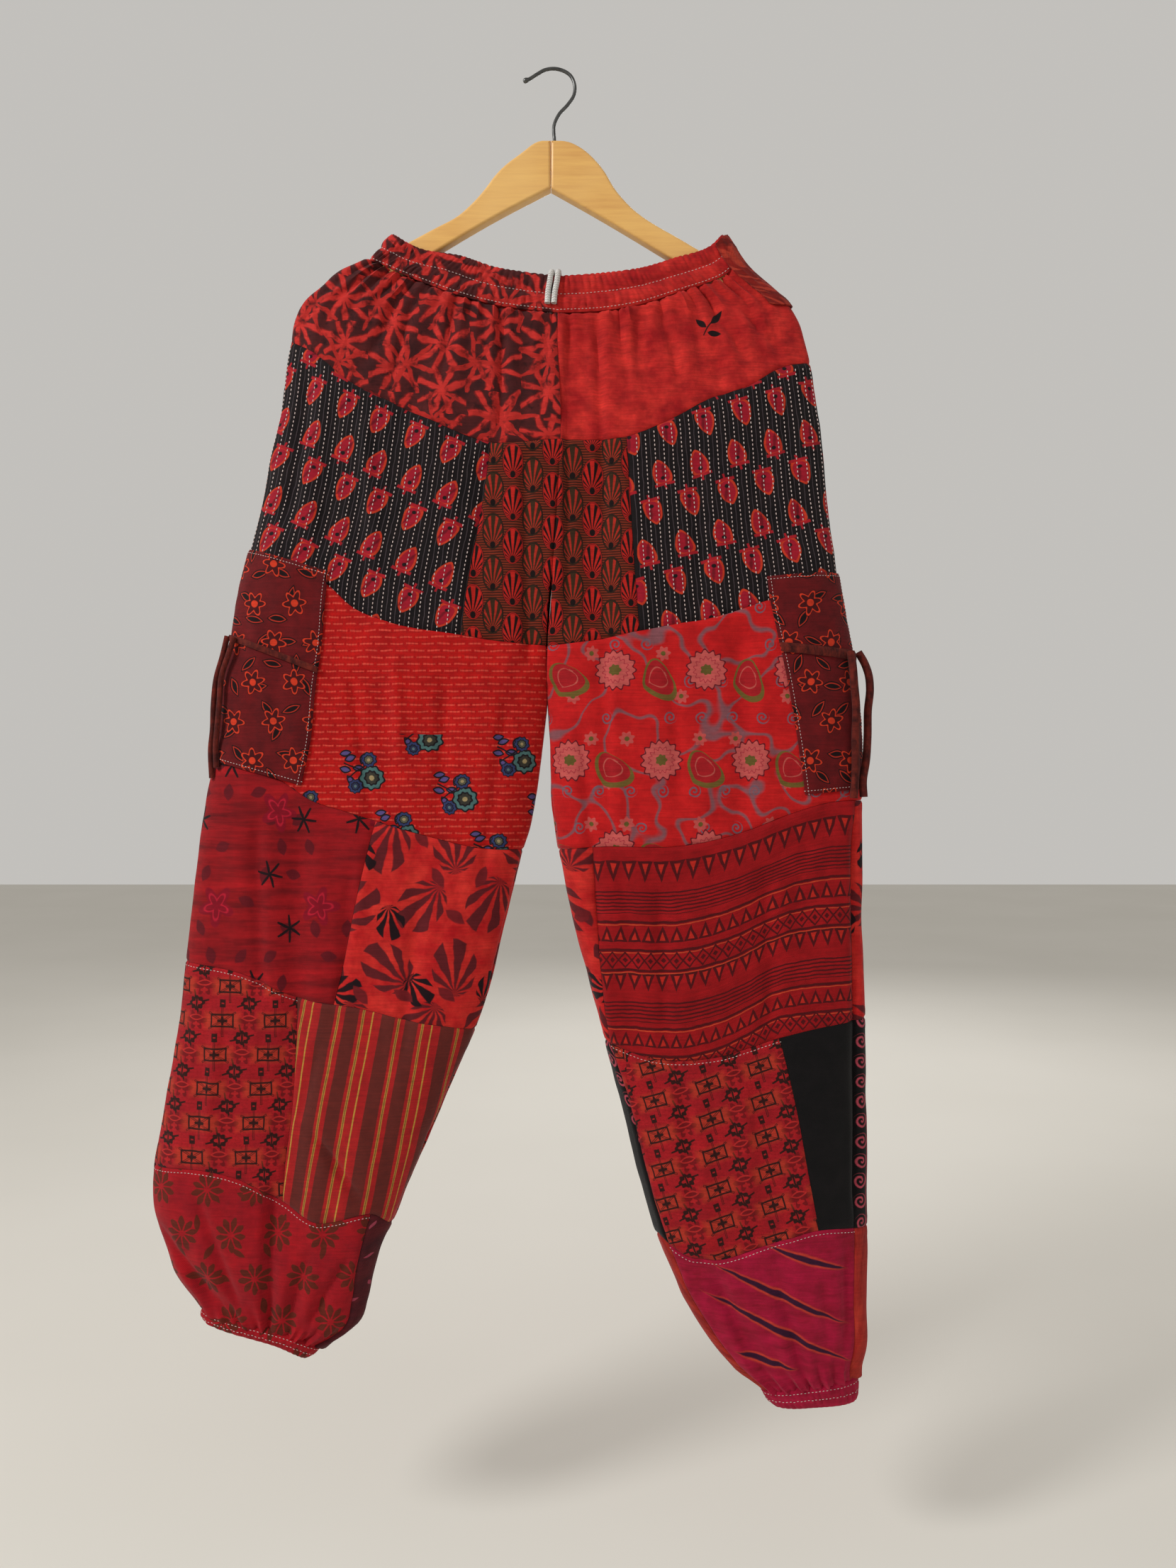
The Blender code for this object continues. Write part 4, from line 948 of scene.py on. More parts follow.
def lay_motif(tree, place, ground, shape, ink, size, cell=None, at=(0, 0), lean=0.0, drop=0.0, slide=0.0,
              shift=(0, 0), turn=0.0, spin=0.0, flip=False, offset=(0, 0), tilt=0.0, count=5, cut=0.3,
              line=0.0, soft=0.5,
              strength=1.0, share=1.0, within=None):
    """Prints a motif once, or in every cell of a repeat. Lengths are in mm and angles in degrees."""
    corner = (cell[0] / 2, cell[1] / 2) if cell else (0, 0)
    local = add(tree, "VectorMath", (place, (at[0] * MM, at[1] * MM, 0)), operation="SUBTRACT")
    if lean:
        local = add(tree, "VectorRotate", {"Vector": local, "Angle": math.radians(lean)},
                    rotation_type="Z_AXIS")
    if shift != (0, 0):
        local = add(tree, "VectorMath", (local, (shift[0] * MM, shift[1] * MM, 0)), operation="SUBTRACT")
    chance = number = None
    if cell:
        local = add(tree, "VectorMath", (local, (corner[0] * MM, corner[1] * MM, 0)), operation="ADD")
        sizes = {"Map": local, "Width": cell[0] * MM, "Height": cell[1] * MM, "Drop": drop, "Slide": slide}
        local = add(tree, "Group", {}, node_tree=GROUPS["repeat"])
        for label, value in sizes.items():
            if label == "Map":
                tree.links.new(value, local.node.inputs[label])
            else:
                local.node.inputs[label].default_value = value
        number, chance = local.node.outputs[1], local.node.outputs[2]
    if turn or spin or flip:
        angle = math.radians(turn)
        if spin:
            angle = add(tree, "Math", (chance, spin * math.tau, angle), operation="MULTIPLY_ADD")
        if flip:
            row = add(tree, "SeparateXYZ", (number,)).node.outputs[1]
            angle = add(tree, "Math", (row, math.pi, angle), operation="MULTIPLY_ADD")
        local = add(tree, "VectorRotate", {"Vector": local, "Angle": angle}, rotation_type="Z_AXIS")
    if offset != (0, 0):
        local = add(tree, "VectorMath", (local, (offset[0] * MM, offset[1] * MM, 0)), operation="SUBTRACT")
    if tilt:
        local = add(tree, "VectorRotate", {"Vector": local, "Angle": -math.radians(tilt)},
                    rotation_type="Z_AXIS")
    depth = add(tree, "Group", {}, node_tree=GROUPS[shape])
    tree.links.new(local, depth.node.inputs["Local"])
    for label, value in (("Length", size[0] * MM), ("Width", size[1] * MM), ("Count", count), ("Cut", cut)):
        depth.node.inputs[label].default_value = value
    if line:
        depth = add(tree, "Math", (depth,), operation="ABSOLUTE")
        depth = add(tree, "Math", (line * MM / 2, depth), operation="SUBTRACT")
    mask = add(tree, "Math", (depth, 1 / (soft * MM), 0.5), operation="MULTIPLY_ADD", use_clamp=True)
    if share < 1:
        mask = add(tree, "Math", (mask, add(tree, "Math", (chance, share), operation="LESS_THAN")),
                   operation="MULTIPLY")
    if within:
        u = add(tree, "SeparateXYZ", (place,))
        for socket, low, high in ((u, *within[:2]), (u.node.outputs[1], *within[2:])):
            near = add(tree, "Math", (socket, (low + high) / 2 * MM, (high - low) / 2 * MM),
                       operation="COMPARE")
            mask = add(tree, "Math", (mask, near), operation="MULTIPLY")
    if strength < 1:
        mask = add(tree, "Math", (mask, strength), operation="MULTIPLY")
    return add(tree, "Mix", {0: mask, 6: ground, 7: (*linear(ink), 1)}, out=2, data_type="RGBA")


def weave_height(tree, place, thread, slub):
    """Threads over and under each other, with thick places along the weft. Thread is their spacing in mm."""
    u = add(tree, "SeparateXYZ", (place,))
    turns = math.tau / (thread * MM)
    across = add(tree, "Math", (add(tree, "Math", (u, turns), operation="MULTIPLY"),), operation="SINE")
    up = add(tree, "Math", (add(tree, "Math", (u.node.outputs[1], turns), operation="MULTIPLY"),),
             operation="SINE")
    over = add(tree, "Math", (across, up), operation="MULTIPLY")
    long = add(tree, "VectorMath", (place, (45, 700, 1)), operation="MULTIPLY")
    thick = add(tree, "TexNoise", {"Vector": long, "Scale": 1.0, "Detail": 2.0})
    return add(tree, "Math", (thick, slub, over), operation="MULTIPLY_ADD"), thick


def cloth_material(name, title, second, layers=(), mottle=30.0, warp=(1.2, 14.0), thread=1.1, slub=0.6,
                   roughness=0.85, sheen=0.06, bump=0.35, streak=(1, 1), fade=0.22):
    """Cotton cloth: a dyed ground, printed motifs, uneven dye, and a weave that the light picks out.

    Real threads are too fine to show here, so the weave is drawn coarser.
    """
    material, tree, shader = new_material(title)
    place = cloth_place(tree, name)
    mover = add(tree, "TexNoise", {"Vector": place, "Scale": 1000 / warp[1], "Detail": 1.0}, out=1)
    mover = add(tree, "VectorMath", (mover, (0.5, 0.5, 0.5)), operation="SUBTRACT")
    moved = add(tree, "VectorMath", {0: mover, 3: warp[0] * 2 * MM}, operation="SCALE")
    printed = add(tree, "VectorMath", (place, moved), operation="ADD")
    stretched = add(tree, "VectorMath", (place, (streak[0], streak[1], 1)), operation="MULTIPLY")
    dye = add(tree, "TexNoise", {"Vector": stretched, "Scale": 1000 / mottle, "Detail": 5.0,
                                 "Roughness": 0.62})
    dye = add(tree, "MapRange", {"Value": dye, "From Min": 0.32, "From Max": 0.68})
    ground_colour = getattr(bpy.context.scene.pants_colours, name)
    ground = add(tree, "Mix", {0: dye, 6: (*ground_colour, 1), 7: (*linear(second), 1)}, out=2,
                 data_type="RGBA")
    for layer in layers:
        ground = lay_motif(tree, printed, ground, **layer)
    height, thick = weave_height(tree, place, thread, slub)
    worn = add(tree, "TexNoise", {"Vector": place, "Scale": 140.0, "Detail": 4.0, "Roughness": 0.7})
    worn = add(tree, "Math", (worn, thick), operation="ADD")
    light = add(tree, "MapRange", {"Value": worn, "From Min": 0.6, "From Max": 1.4,
                                   "To Min": CLOTH_SHADE - fade, "To Max": CLOTH_SHADE + fade})
    final = add(tree, "VectorMath", {0: ground, 3: light}, operation="SCALE")
    tree.links.new(final, shader.inputs["Base Color"])
    shader.inputs["Roughness"].default_value = roughness
    shader.inputs["Sheen Weight"].default_value = sheen
    shader.inputs["Sheen Roughness"].default_value = 0.5
    shader.inputs["Specular IOR Level"].default_value = 0.16
    raised = add(tree, "Bump", {"Height": height, "Strength": bump, "Distance": 0.0004})
    tree.links.new(raised, shader.inputs["Normal"])
    return material


def cloth_place(tree, name):
    """The print's own map, or for the ties and the string the object's coordinates seen from the front."""
    if name in ("tie", "string"):
        x = add(tree, "SeparateXYZ", (add(tree, "TexCoord", out=3),))
        across = add(tree, "Math", (x, x.node.outputs[1]), operation="ADD")
        return add(tree, "CombineXYZ", (across, x.node.outputs[2]))
    return add(tree, "UVMap", uv_map="print")


def posy(cell, at, lean, within):
    """The layers of one spray: a scalloped flower, small blooms and leaves on thin stems."""
    common = {"cell": cell, "at": at, "lean": lean, "slide": 0.5, "within": within}
    dark, layers = "1A1218", []
    for x, y, tilt in ((-14, 9, 30), (-16, -1, 0), (-9, -9, -40), (-3, 11, 80), (-19, 12, 20), (-5, 2, 10)):
        layers.append(dict(shape="leaf", ink=dark, size=(11, 6.4), offset=(x, y), tilt=tilt, **common))
        layers.append(dict(shape="leaf", ink="5C4E86", size=(8, 3.6), offset=(x, y), tilt=tilt, **common))
    for long, x, y, tilt in ((30, -4, 1, -12), (18, -6, -1, 48)):
        layers.append(dict(shape="bar", ink=dark, size=(long, 1.3), offset=(x, y), tilt=tilt, **common))
    for x, y, wide, inks in (
        (8, -3, 24, (dark, "4E7472", dark, "3A3830", "A8946A")),
        (2, 11, 15, (dark, "343E6A", dark, "5E5C4A", "A8946A")),
        (-4, -13, 14, (dark, "343E6A", dark, "2C3250", "5E7478")),
    ):
        for share, ink in zip((1.0, 0.86, 0.6, 0.46, 0.2), inks):
            size = (wide * share, wide * share * 0.92)
            layers.append(dict(shape="petals", ink=ink, size=size, count=9, cut=0.14, offset=(x, y),
                               **common))
    return layers


def tile_rows(at, lean, within):
    """The layers of the block print: a beetle-like medallion and three small ornaments in each repeat."""
    cell, dark, layers = (47.6, 28.7), "34120F", []

    def lay(shape, ink, size, x, y, **more):
        layers.append(dict(shape=shape, ink=ink, size=size, cell=cell, at=at, lean=lean, slide=-0.135,
                           shift=(x, y), within=within, **more))

    lay("blotch", "8E0E18", (2.6, 2.2), 0, 0, cut=0.6, strength=0.75)
    lay("rays", dark, (23, 1.3), 0, 0, count=4, turn=32)
    lay("petals", dark, (15, 12.5), 0, 0, count=8, cut=0.2)
    lay("petals", "B82024", (9, 7.5), 0, 0, count=4, cut=0.5)
    lay("bar", dark, (1.6, 10), 0, 0)
    lay("bar", dark, (5, 7), 23.8, 0)
    lay("bar", "B82024", (2.2, 1.2), 23.8, 0)
    lay("petals", "7E0F16", (21, 17), 0, -14.3, count=6, cut=0.45)
    lay("leaf", "C42A28", (13, 4.4), 0, -12, line=1.2)
    lay("petals", "B81E22", (7, 5), 0, -18, count=4, cut=0.4)
    lay("bar", "D4502C", (31, 13), 23.8, -14.3, soft=5.0, strength=0.4)
    lay("bar", dark, (19, 10), 23.8, -14.3, line=1.5)
    lay("petals", dark, (9, 8), 23.8, -14.3, count=4, cut=0.6)
    lay("rays", dark, (27, 1.2), 23.8, -14.3, count=6, cut=0.0, line=0.5)
    return layers


def border_rows():
    """The layers of the border print: bands of teeth, lines and diamonds, from the top down."""
    layers, dark = [], "560A10"
    for middle, tall, wide, turn in ((-677, 18, 13.5, 0), (-730, 14, 12, 180), (-771, 15, 12, 0),
                                     (-820, 12, 11, 180)):
        common = dict(shape="wedge", cell=(wide, 2000), at=(104, middle), turn=turn)
        layers.append(dict(ink=dark, size=(tall, wide * 0.98), **common))
        layers.append(dict(ink="C8281C", size=(tall * 0.5, wide * 0.4), offset=(0, tall * 0.12), **common))
    for low, high, gap in ((-713, -693, 3.05), (-805, -786, 3.3)):
        layers.append(dict(shape="bar", ink=dark, size=(3000, gap * 0.42), cell=(3000, gap), at=(0, low),
                           within=(-900, 900, low, high)))
    for middle in (-720, -744, -761, -810, -833):
        layers.append(dict(shape="bar", ink=dark, size=(3000, 2.2), at=(0, middle)))
        layers.append(dict(shape="bar", ink="D8502C", size=(3000, 0.7), at=(0, middle - 2.2)))
    for middle in (-752.5, -840):
        layers.append(dict(shape="diamond", ink=dark, size=(11, 13), cell=(11, 2000), at=(104, middle),
                           line=1.8))
        layers.append(dict(shape="diamond", ink=dark, size=(4.5, 5), cell=(11, 2000), at=(104, middle)))
    return layers


def berries(at, lean, within):
    """The layers of the sewn red berries, each row turned the other way up."""
    common = dict(cell=(34.8, 30.5), at=at, lean=lean, slide=0.5, flip=True, within=within)
    return [
        dict(shape="bud", ink="CE3A20", size=(22, 17), **common),
        dict(shape="bud", ink="A8142A", size=(18, 13), **common),
        dict(shape="leaf", ink="7A0C1E", size=(13, 3), offset=(-2.5, -1), tilt=70, soft=1.5, **common),
        dict(shape="petals", ink="1D1014", size=(4.2, 3.2), count=0, offset=(0, 5), **common),
        dict(shape="bar", ink="B01A26", size=(18, 2.4), offset=(0, 10.5), **common),
        dict(shape="bar", ink="B01A26", size=(2, 5), offset=(0, 13.5), **common),
    ]


def fans_rows():
    """The layers of the fan print: two kinds of ribbed shell, in slanting rows over fine hatching."""
    layers = [dict(shape="bar", ink="8A3018", size=(200, 1.1), cell=(200, 2.15), soft=0.9)]
    for at, ink, ribs, cut in (((0, -329), "C8221A", "160806", 0.56),
                               ((16.8, -341), "3A2410", "B0281A", 0.6)):
        common = dict(cell=(33.6, 36), at=at, drop=0.68)
        layers += [
            dict(shape="petals", ink="120604", size=(18, 31), count=0, **common),
            dict(shape="petals", ink=ink, size=(15.5, 28), count=0, **common),
            dict(shape="fan", ink=ribs, size=(15.5, 27), count=22, cut=cut, soft=0.35, **common),
            dict(shape="petals", ink=ink, size=(16.5, 29.5), count=0, line=0.7, **common),
            dict(shape="petals", ink="120604", size=(4.5, 6), count=0, offset=(0, -11.5), **common),
        ]
    return layers


def streaks():
    """The layers of the dark strokes on the foot, each edged in orange."""
    layers = []
    for at, long, tilt in (((216, -1014), 76, -17), ((192, -1045), 132, -24), ((191, -1075), 146, -25),
                           ((180, -1102), 56, -14)):
        layers.append(dict(shape="leaf", ink="D04030", size=(long, 8.5), at=at, tilt=tilt, soft=1.5))
        layers.append(dict(shape="leaf", ink="3A1030", size=(long * 0.96, 5), at=at, tilt=tilt, soft=1.0))
    return layers


# Each cloth: the material's name, the ground's second colour, its prints from the ground up, and its weave.
# Widths, heights and places are in mm. What a cloth gives the eye is said above its row.
CLOTHS = {
    # Dark cotton with wax-resist stars in a net of wavy arms.
    "batik": dict(title="batik cotton", second="5E1D1C", mottle=18, warp=(3.2, 11), layers=[
        dict(shape="rays", ink="8E1C1A", size=(64, 3.4), cell=(46, 40), drop=0.5, spin=1, count=8, cut=0.8,
             soft=1.2),
        dict(shape="rays", ink="D0302A", size=(58, 2.4), cell=(46, 40), drop=0.5, spin=1, count=8,
             cut=0.85, soft=0.7),
        dict(shape="rays", ink="BE2822", size=(56, 2.2), cell=(63, 51), slide=0.4, spin=1, count=7,
             cut=0.9, soft=0.7),
        dict(shape="blotch", ink="26090B", size=(9, 9), cut=0.6, soft=1.6, strength=0.85),
    ]),
    # Red cotton dyed in clouds, with one small dark sprig.
    "tie_dye": dict(title="tie-dyed cotton", second="E4352C", mottle=24, fade=0.26, layers=[
        dict(shape="blotch", ink="860B12", size=(15, 10), cut=0.6, soft=3, strength=0.6),
        dict(shape="bar", ink="1C0C0E", size=(15, 1.2), at=(134, -226), tilt=60),
        dict(shape="leaf", ink="1C0C0E", size=(15, 6), at=(141, -217), tilt=50),
        dict(shape="leaf", ink="1C0C0E", size=(13, 5), at=(128, -222), tilt=140),
        dict(shape="leaf", ink="1C0C0E", size=(12, 5), at=(140, -231), tilt=-5),
    ]),
    # Near-black quilted cotton: the sewn rows are real stitches, with a faint line between each two.
    "kantha": dict(title="quilted black cotton", second="1C1315", mottle=20, bump=0.35, layers=[
        dict(shape="bar", ink="6E6066", size=(0.45, 60), cell=(7.9, 60), at=(3.95, 0), strength=0.55),
        *berries((100, -317), -15, (0, 500, -900, 0)),
        *berries((-125, -320), 22, (-500, 0, -900, 0)),
    ]),
    # Rust on black: ribbed shells in slanting rows over fine hatching.
    "fans": dict(title="fan-printed cotton", second="2A0F08", warp=(0.7, 16), layers=fans_rows()),
    # Red cotton with a raised broken dash in rows, and dark sprays at its foot.
    "dobby": dict(title="red dobby cotton", second="AE0A0C", mottle=26, bump=0.3, layers=[
        dict(shape="bar", ink="EE5A48", size=(10.5, 1.2), cell=(13.4, 5.7), slide=0.37, soft=0.8,
             strength=0.75),
        dict(shape="bar", ink="9A080A", size=(0.8, 3.6), cell=(3.3, 5.7), soft=0.6, strength=0.45),
        *posy((84, 42), (-159, -604), 12.5, (-500, 400, -760, -572)),
    ]),
    # Bright red cotton with pale serrated flowers, cup buds and grey vines.
    "floral": dict(title="floral cotton", second="C01216", mottle=30, layers=[
        dict(shape="vine", ink="7E5A62", size=(44, 1.3), soft=0.8, strength=0.85),
        dict(shape="curl", ink="7A5E6C", size=(11, 1.3), cell=(27, 31), slide=0.37, spin=1, share=0.6),
        dict(shape="petals", ink="CE5450", size=(13, 13), cell=(31, 36), slide=0.5, spin=1, count=7,
             cut=0.3, share=0.5),
        dict(shape="petals", ink="6A5A28", size=(4, 4), cell=(31, 36), slide=0.5, count=0, share=0.5),
        dict(shape="petals", ink="6A1420", size=(37, 36), cell=(78, 76), at=(52, -518), slide=0.5,
             count=15, cut=0.16),
        dict(shape="petals", ink="D05C58", size=(34, 33), cell=(78, 76), at=(52, -518), slide=0.5,
             count=15, cut=0.16),
        dict(shape="petals", ink="B03440", size=(23, 22), cell=(78, 76), at=(52, -518), slide=0.5,
             count=15, cut=0.2, line=1),
        dict(shape="petals", ink="6A5A28", size=(11, 10), cell=(78, 76), at=(52, -518), slide=0.5, count=7,
             cut=0.2),
        dict(shape="bud", ink="76602A", size=(26, 38), cell=(78, 76), at=(88, -528), slide=0.5, spin=0.2),
        dict(shape="bud", ink="B01A22", size=(22, 31), cell=(78, 76), at=(88, -526), slide=0.5, spin=0.2),
        dict(shape="bud", ink="C85A50", size=(15, 18), cell=(78, 76), at=(88, -525), slide=0.5, spin=0.2,
             line=1.2),
    ]),
    # Loosely spun red cotton with thick weft threads, maroon leaves, crimson flowers and black twigs.
    "slub": dict(title="slub cotton", second="6E0A12", mottle=36, streak=(0.35, 3), slub=1.6, bump=0.4,
                 layers=[
        dict(shape="leaf", ink="6A0E1A", size=(15, 9), cell=(27, 23), slide=0.4, spin=1, share=0.55,
             soft=1.2),
        dict(shape="petals", ink="8E0620", size=(38, 34), cell=(96, 80), at=(-287, -717), slide=0.4,
             count=5, cut=0.5,
             spin=1, soft=1.5),
        dict(shape="petals", ink="C81A34", size=(24, 22), cell=(96, 80), at=(-287, -717), slide=0.4,
             count=5, cut=0.6,
             spin=1, line=2, soft=1.5),
        dict(shape="rays", ink="1C0A10", size=(24, 1.5), cell=(50, 46), slide=0.35, count=6, cut=0.6,
             spin=1, share=0.6),
    ]),
    # Mottled red cotton with black and maroon fingered leaves.
    "leaves": dict(title="leaf-printed cotton", second="E4362C", mottle=22, warp=(2.0, 12), layers=[
        dict(shape="fan", ink="661A20", size=(38, 50), cell=(58, 52), at=(-140, -769), slide=0.5, spin=1,
             count=13,
             cut=0.42, soft=1.0),
        dict(shape="fan", ink="1F0B12", size=(24, 30), cell=(63, 57), at=(-100, -674), slide=0.4, spin=1,
             count=11,
             cut=0.4, share=0.5, soft=0.8),
        dict(shape="leaf", ink="7A1A20", size=(20, 9), cell=(37, 33), slide=0.4, spin=1, share=0.5, soft=1.2),
    ]),
    # Red block print with rows of dark medallions.
    "tiles": dict(title="block-printed cotton", second="A01420", warp=(0.8, 12), layers=[
        *tile_rows((-302, -799), 0, (-600, 60, -1200, 0)),
        *tile_rows((104, -861), -18.4, (60, 600, -1200, 0)),
    ]),
    # Wide red and maroon stripes with gold lines.
    "stripes": dict(title="striped cotton", second="A81418", warp=(0.6, 30), roughness=0.62, sheen=0.12,
                    layers=[
        dict(shape="bar", ink=ink, size=(wide, 900), cell=(51.9, 900), at=(-194.6, -884), lean=10.5,
             offset=(x, 0))
        for x, wide, ink in (
            (11, 11.5, "6A2018"), (-9.5, 12, "6A2018"), (0, 2.1, "C08E3A"), (20.7, 2.1, "C08E3A"),
            (-23.2, 1.2, "C8963C"),
            (0, 0.7, "7A4A1C"), (20.7, 0.7, "7A4A1C"),
        )
    ]),
    # Crimson cotton with brown carnations on thin stems.
    "damask": dict(title="carnation cotton", second="98101E", mottle=28, layers=[
        dict(shape="leaf", ink="6A2416", size=(15, 5), cell=(26, 24), slide=0.4, spin=1, share=0.35),
        dict(shape="petals", ink="6A2416", size=(31, 27), cell=(43, 38), at=(-293, -955), slide=0.5,
             spin=0.4, count=9,
             cut=0.34),
        dict(shape="rays", ink="B0141E", size=(24, 1.0), cell=(43, 38), at=(-293, -955), slide=0.5,
             spin=0.4, count=9,
             cut=0.3),
        dict(shape="petals", ink="B0141E", size=(7, 6), cell=(43, 38), at=(-293, -955), slide=0.5, count=5,
             cut=0.3),
    ]),
    # Red cotton with dark bands of teeth, lines and diamonds.
    "borders": dict(title="border-printed cotton", second="95080F", warp=(1.0, 10), layers=border_rows()),
    # Plain black cotton.
    "black": dict(title="black cotton", second="100B0D", mottle=16, sheen=0.1),
    # Black cotton with a worn pink meander down its edges.
    "wrap": dict(title="black cotton with a pink border", second="100B0D", mottle=16, sheen=0.1, layers=[
        dict(shape="curl", ink="C04A5A", size=(13, 1.7), cell=(64, 17), at=(7, 0), soft=0.8),
        dict(shape="bar", ink="C04A5A", size=(1.0, 900), cell=(64, 900), at=(14.5, 0)),
        dict(shape="diamond", ink="A8242C", size=(7, 10), cell=(64, 25), at=(22, 0)),
    ]),
    # Magenta cotton with dark strokes edged in orange.
    "magenta": dict(title="magenta cotton", second="8B0B23", mottle=26, layers=[
        dict(shape="blotch", ink="D81A4C", size=(30, 8), cut=0.58, soft=4, strength=0.6), *streaks(),
    ]),
    # Coral cotton, streaked down its length.
    "coral": dict(title="coral cotton", second="8E1C1C", mottle=30, streak=(3, 0.35), layers=[
        dict(shape="blotch", ink="E05038", size=(5, 34), cut=0.6, soft=2, strength=0.6),
    ]),
    # Dark maroon cotton with small pink marks.
    "maroon": dict(title="maroon cotton", second="641A20", mottle=20, layers=[
        dict(shape="leaf", ink="B84A60", size=(7, 3), cell=(15, 13), slide=0.4, spin=1, share=0.5,
             strength=0.8),
    ]),
    # Dark maroon cotton with outlined red flowers and black leaves.
    "pocket": dict(title="pocket cotton", second="5A0E12", mottle=18, layers=[
        dict(shape="leaf", ink="1A080A", size=(19, 8), cell=(21, 19), slide=0.4, spin=1, share=0.7),
        dict(shape="leaf", ink="C0301E", size=(15, 5), cell=(21, 19), slide=0.4, spin=1, line=0.9, share=0.7),
        dict(shape="petals", ink="4A0A0E", size=(24, 23), cell=(36, 33), slide=0.5, spin=1, count=6, cut=0.4),
        dict(shape="petals", ink="DC3C20", size=(21, 20), cell=(36, 33), slide=0.5, spin=1, count=6,
             cut=0.45, line=1.5),
        dict(shape="petals", ink="DC3C20", size=(6, 6), cell=(36, 33), slide=0.5, count=0),
    ]),
    # Cut strips of dark brown-red cotton.
    "tie": dict(title="cotton strip", second="7E2A1E", mottle=9, streak=(2.5, 0.6), layers=[
        dict(shape="blotch", ink="2A0C0C", size=(5, 9), cut=0.58, soft=1.5),
    ]),
    # Worn brown-red cotton with a faded print.
    "patch": dict(title="faded cotton", second="A02018", mottle=14, warp=(2.4, 9), layers=[
        dict(shape="rays", ink="B83A28", size=(26, 2.2), cell=(24, 22), drop=0.5, spin=1, count=6, cut=0.7,
             soft=1.2),
    ]),
    # White cotton braid: slanting strands that cross; the grey strands slanting one way are painted shade,
    # and the pale ones slanting the other way are painted highlight.
    "string": dict(title="braided cotton", second="C8C2BA", mottle=6, thread=0.7, fade=0.1, bump=0.4, layers=[
        dict(shape="leaf", ink="B4AEA6", size=(3.4, 0.7), cell=(1.9, 2.1), tilt=38, soft=0.4, strength=0.8),
        dict(shape="leaf", ink="F4F2EE", size=(3.0, 1.0), cell=(1.9, 2.1), at=(0.9, 1.0), tilt=-38, soft=0.5),
    ]),
}


def make_materials():
    """Makes the cloths, the wood, the steel, the sewing thread and the stage's floor."""
    make_groups()
    # Light hardwood with a soft varnish: long grain lines, and pores that the light catches.
    material, tree, shader = new_material("varnished beech")
    place = add(tree, "TexCoord", out=3)
    grain = add(tree, "VectorMath", (place, (9, 60, 150)), operation="MULTIPLY")
    lines = add(tree, "TexNoise", {"Vector": grain, "Scale": 1.6, "Detail": 6.0, "Roughness": 0.65})
    lines = add(tree, "MapRange", {"Value": lines, "From Min": 0.35, "From Max": 0.65})
    light = (*bpy.context.scene.pants_colours.wood, 1)
    shade = add(tree, "Mix", {0: lines, 6: light, 7: (*linear("C8883A"), 1)}, out=2, data_type="RGBA")
    broad = add(tree, "TexNoise", {"Vector": place, "Scale": 14.0, "Detail": 2.0})
    shade = add(tree, "Mix", {0: broad, 6: shade, 7: (*linear("EBBE74"), 1)}, out=2, data_type="RGBA")
    tree.links.new(shade, shader.inputs["Base Color"])
    shader.inputs["Roughness"].default_value = 0.42
    shader.inputs["Coat Weight"].default_value = 0.3
    shader.inputs["Coat Roughness"].default_value = 0.3
    raised = add(tree, "Bump", {"Height": lines, "Strength": 0.12, "Distance": 0.0004})
    tree.links.new(raised, shader.inputs["Normal"])
    MATERIALS["wood"] = material

    # Drawn steel wire, dulled in places.
    material, tree, shader = new_material("steel wire")
    dull = add(tree, "TexNoise", {"Vector": add(tree, "TexCoord", out=3), "Scale": 260.0, "Detail": 3.0})
    shade = add(tree, "Mix", {0: dull, 6: (*linear("6E6E6C"), 1), 7: (*linear("3E3E3E"), 1)}, out=2,
                data_type="RGBA")
    rough = add(tree, "MapRange", {"Value": dull, "To Min": 0.28, "To Max": 0.5})
    tree.links.new(shade, shader.inputs["Base Color"])
    tree.links.new(rough, shader.inputs["Roughness"])
    shader.inputs["Metallic"].default_value = 1.0
    MATERIALS["steel"] = material

    # Pale cotton sewing thread, a little worn.
    material, tree, shader = new_material("cotton thread")
    worn = add(tree, "TexNoise", {"Vector": add(tree, "TexCoord", out=3), "Scale": 220.0, "Detail": 2.0})
    pale = (*bpy.context.scene.pants_colours.thread, 1)
    shade = add(tree, "Mix", {0: worn, 6: pale, 7: (*linear("B89C98"), 1)}, out=2, data_type="RGBA")
    tree.links.new(shade, shader.inputs["Base Color"])
    shader.inputs["Roughness"].default_value = 0.75
    MATERIALS["thread"] = material

    for name, row in CLOTHS.items():
        MATERIALS[name] = cloth_material(name, **row)

    # Matt, pale floor.
    material, tree, shader = new_material("pale floor")
    worn = add(tree, "TexNoise", {"Vector": add(tree, "TexCoord", out=3), "Scale": 1.5, "Detail": 3.0})
    shade = add(tree, "Mix", {0: worn, 6: (*linear("D9D5CD"), 1), 7: (*linear("CFCBC2"), 1)}, out=2,
                data_type="RGBA")
    tree.links.new(shade, shader.inputs["Base Color"])
    shader.inputs["Roughness"].default_value = 0.9
    MATERIALS["floor"] = material


def colour_of(name, colour, use):
    """A colour that a user can set, with its start given as sRGB hex."""
    words = f"Colour of {use}"
    return bpy.props.FloatVectorProperty(
        name=name, description=words, subtype="COLOR", size=3, min=0, max=1, default=linear(colour)
    )


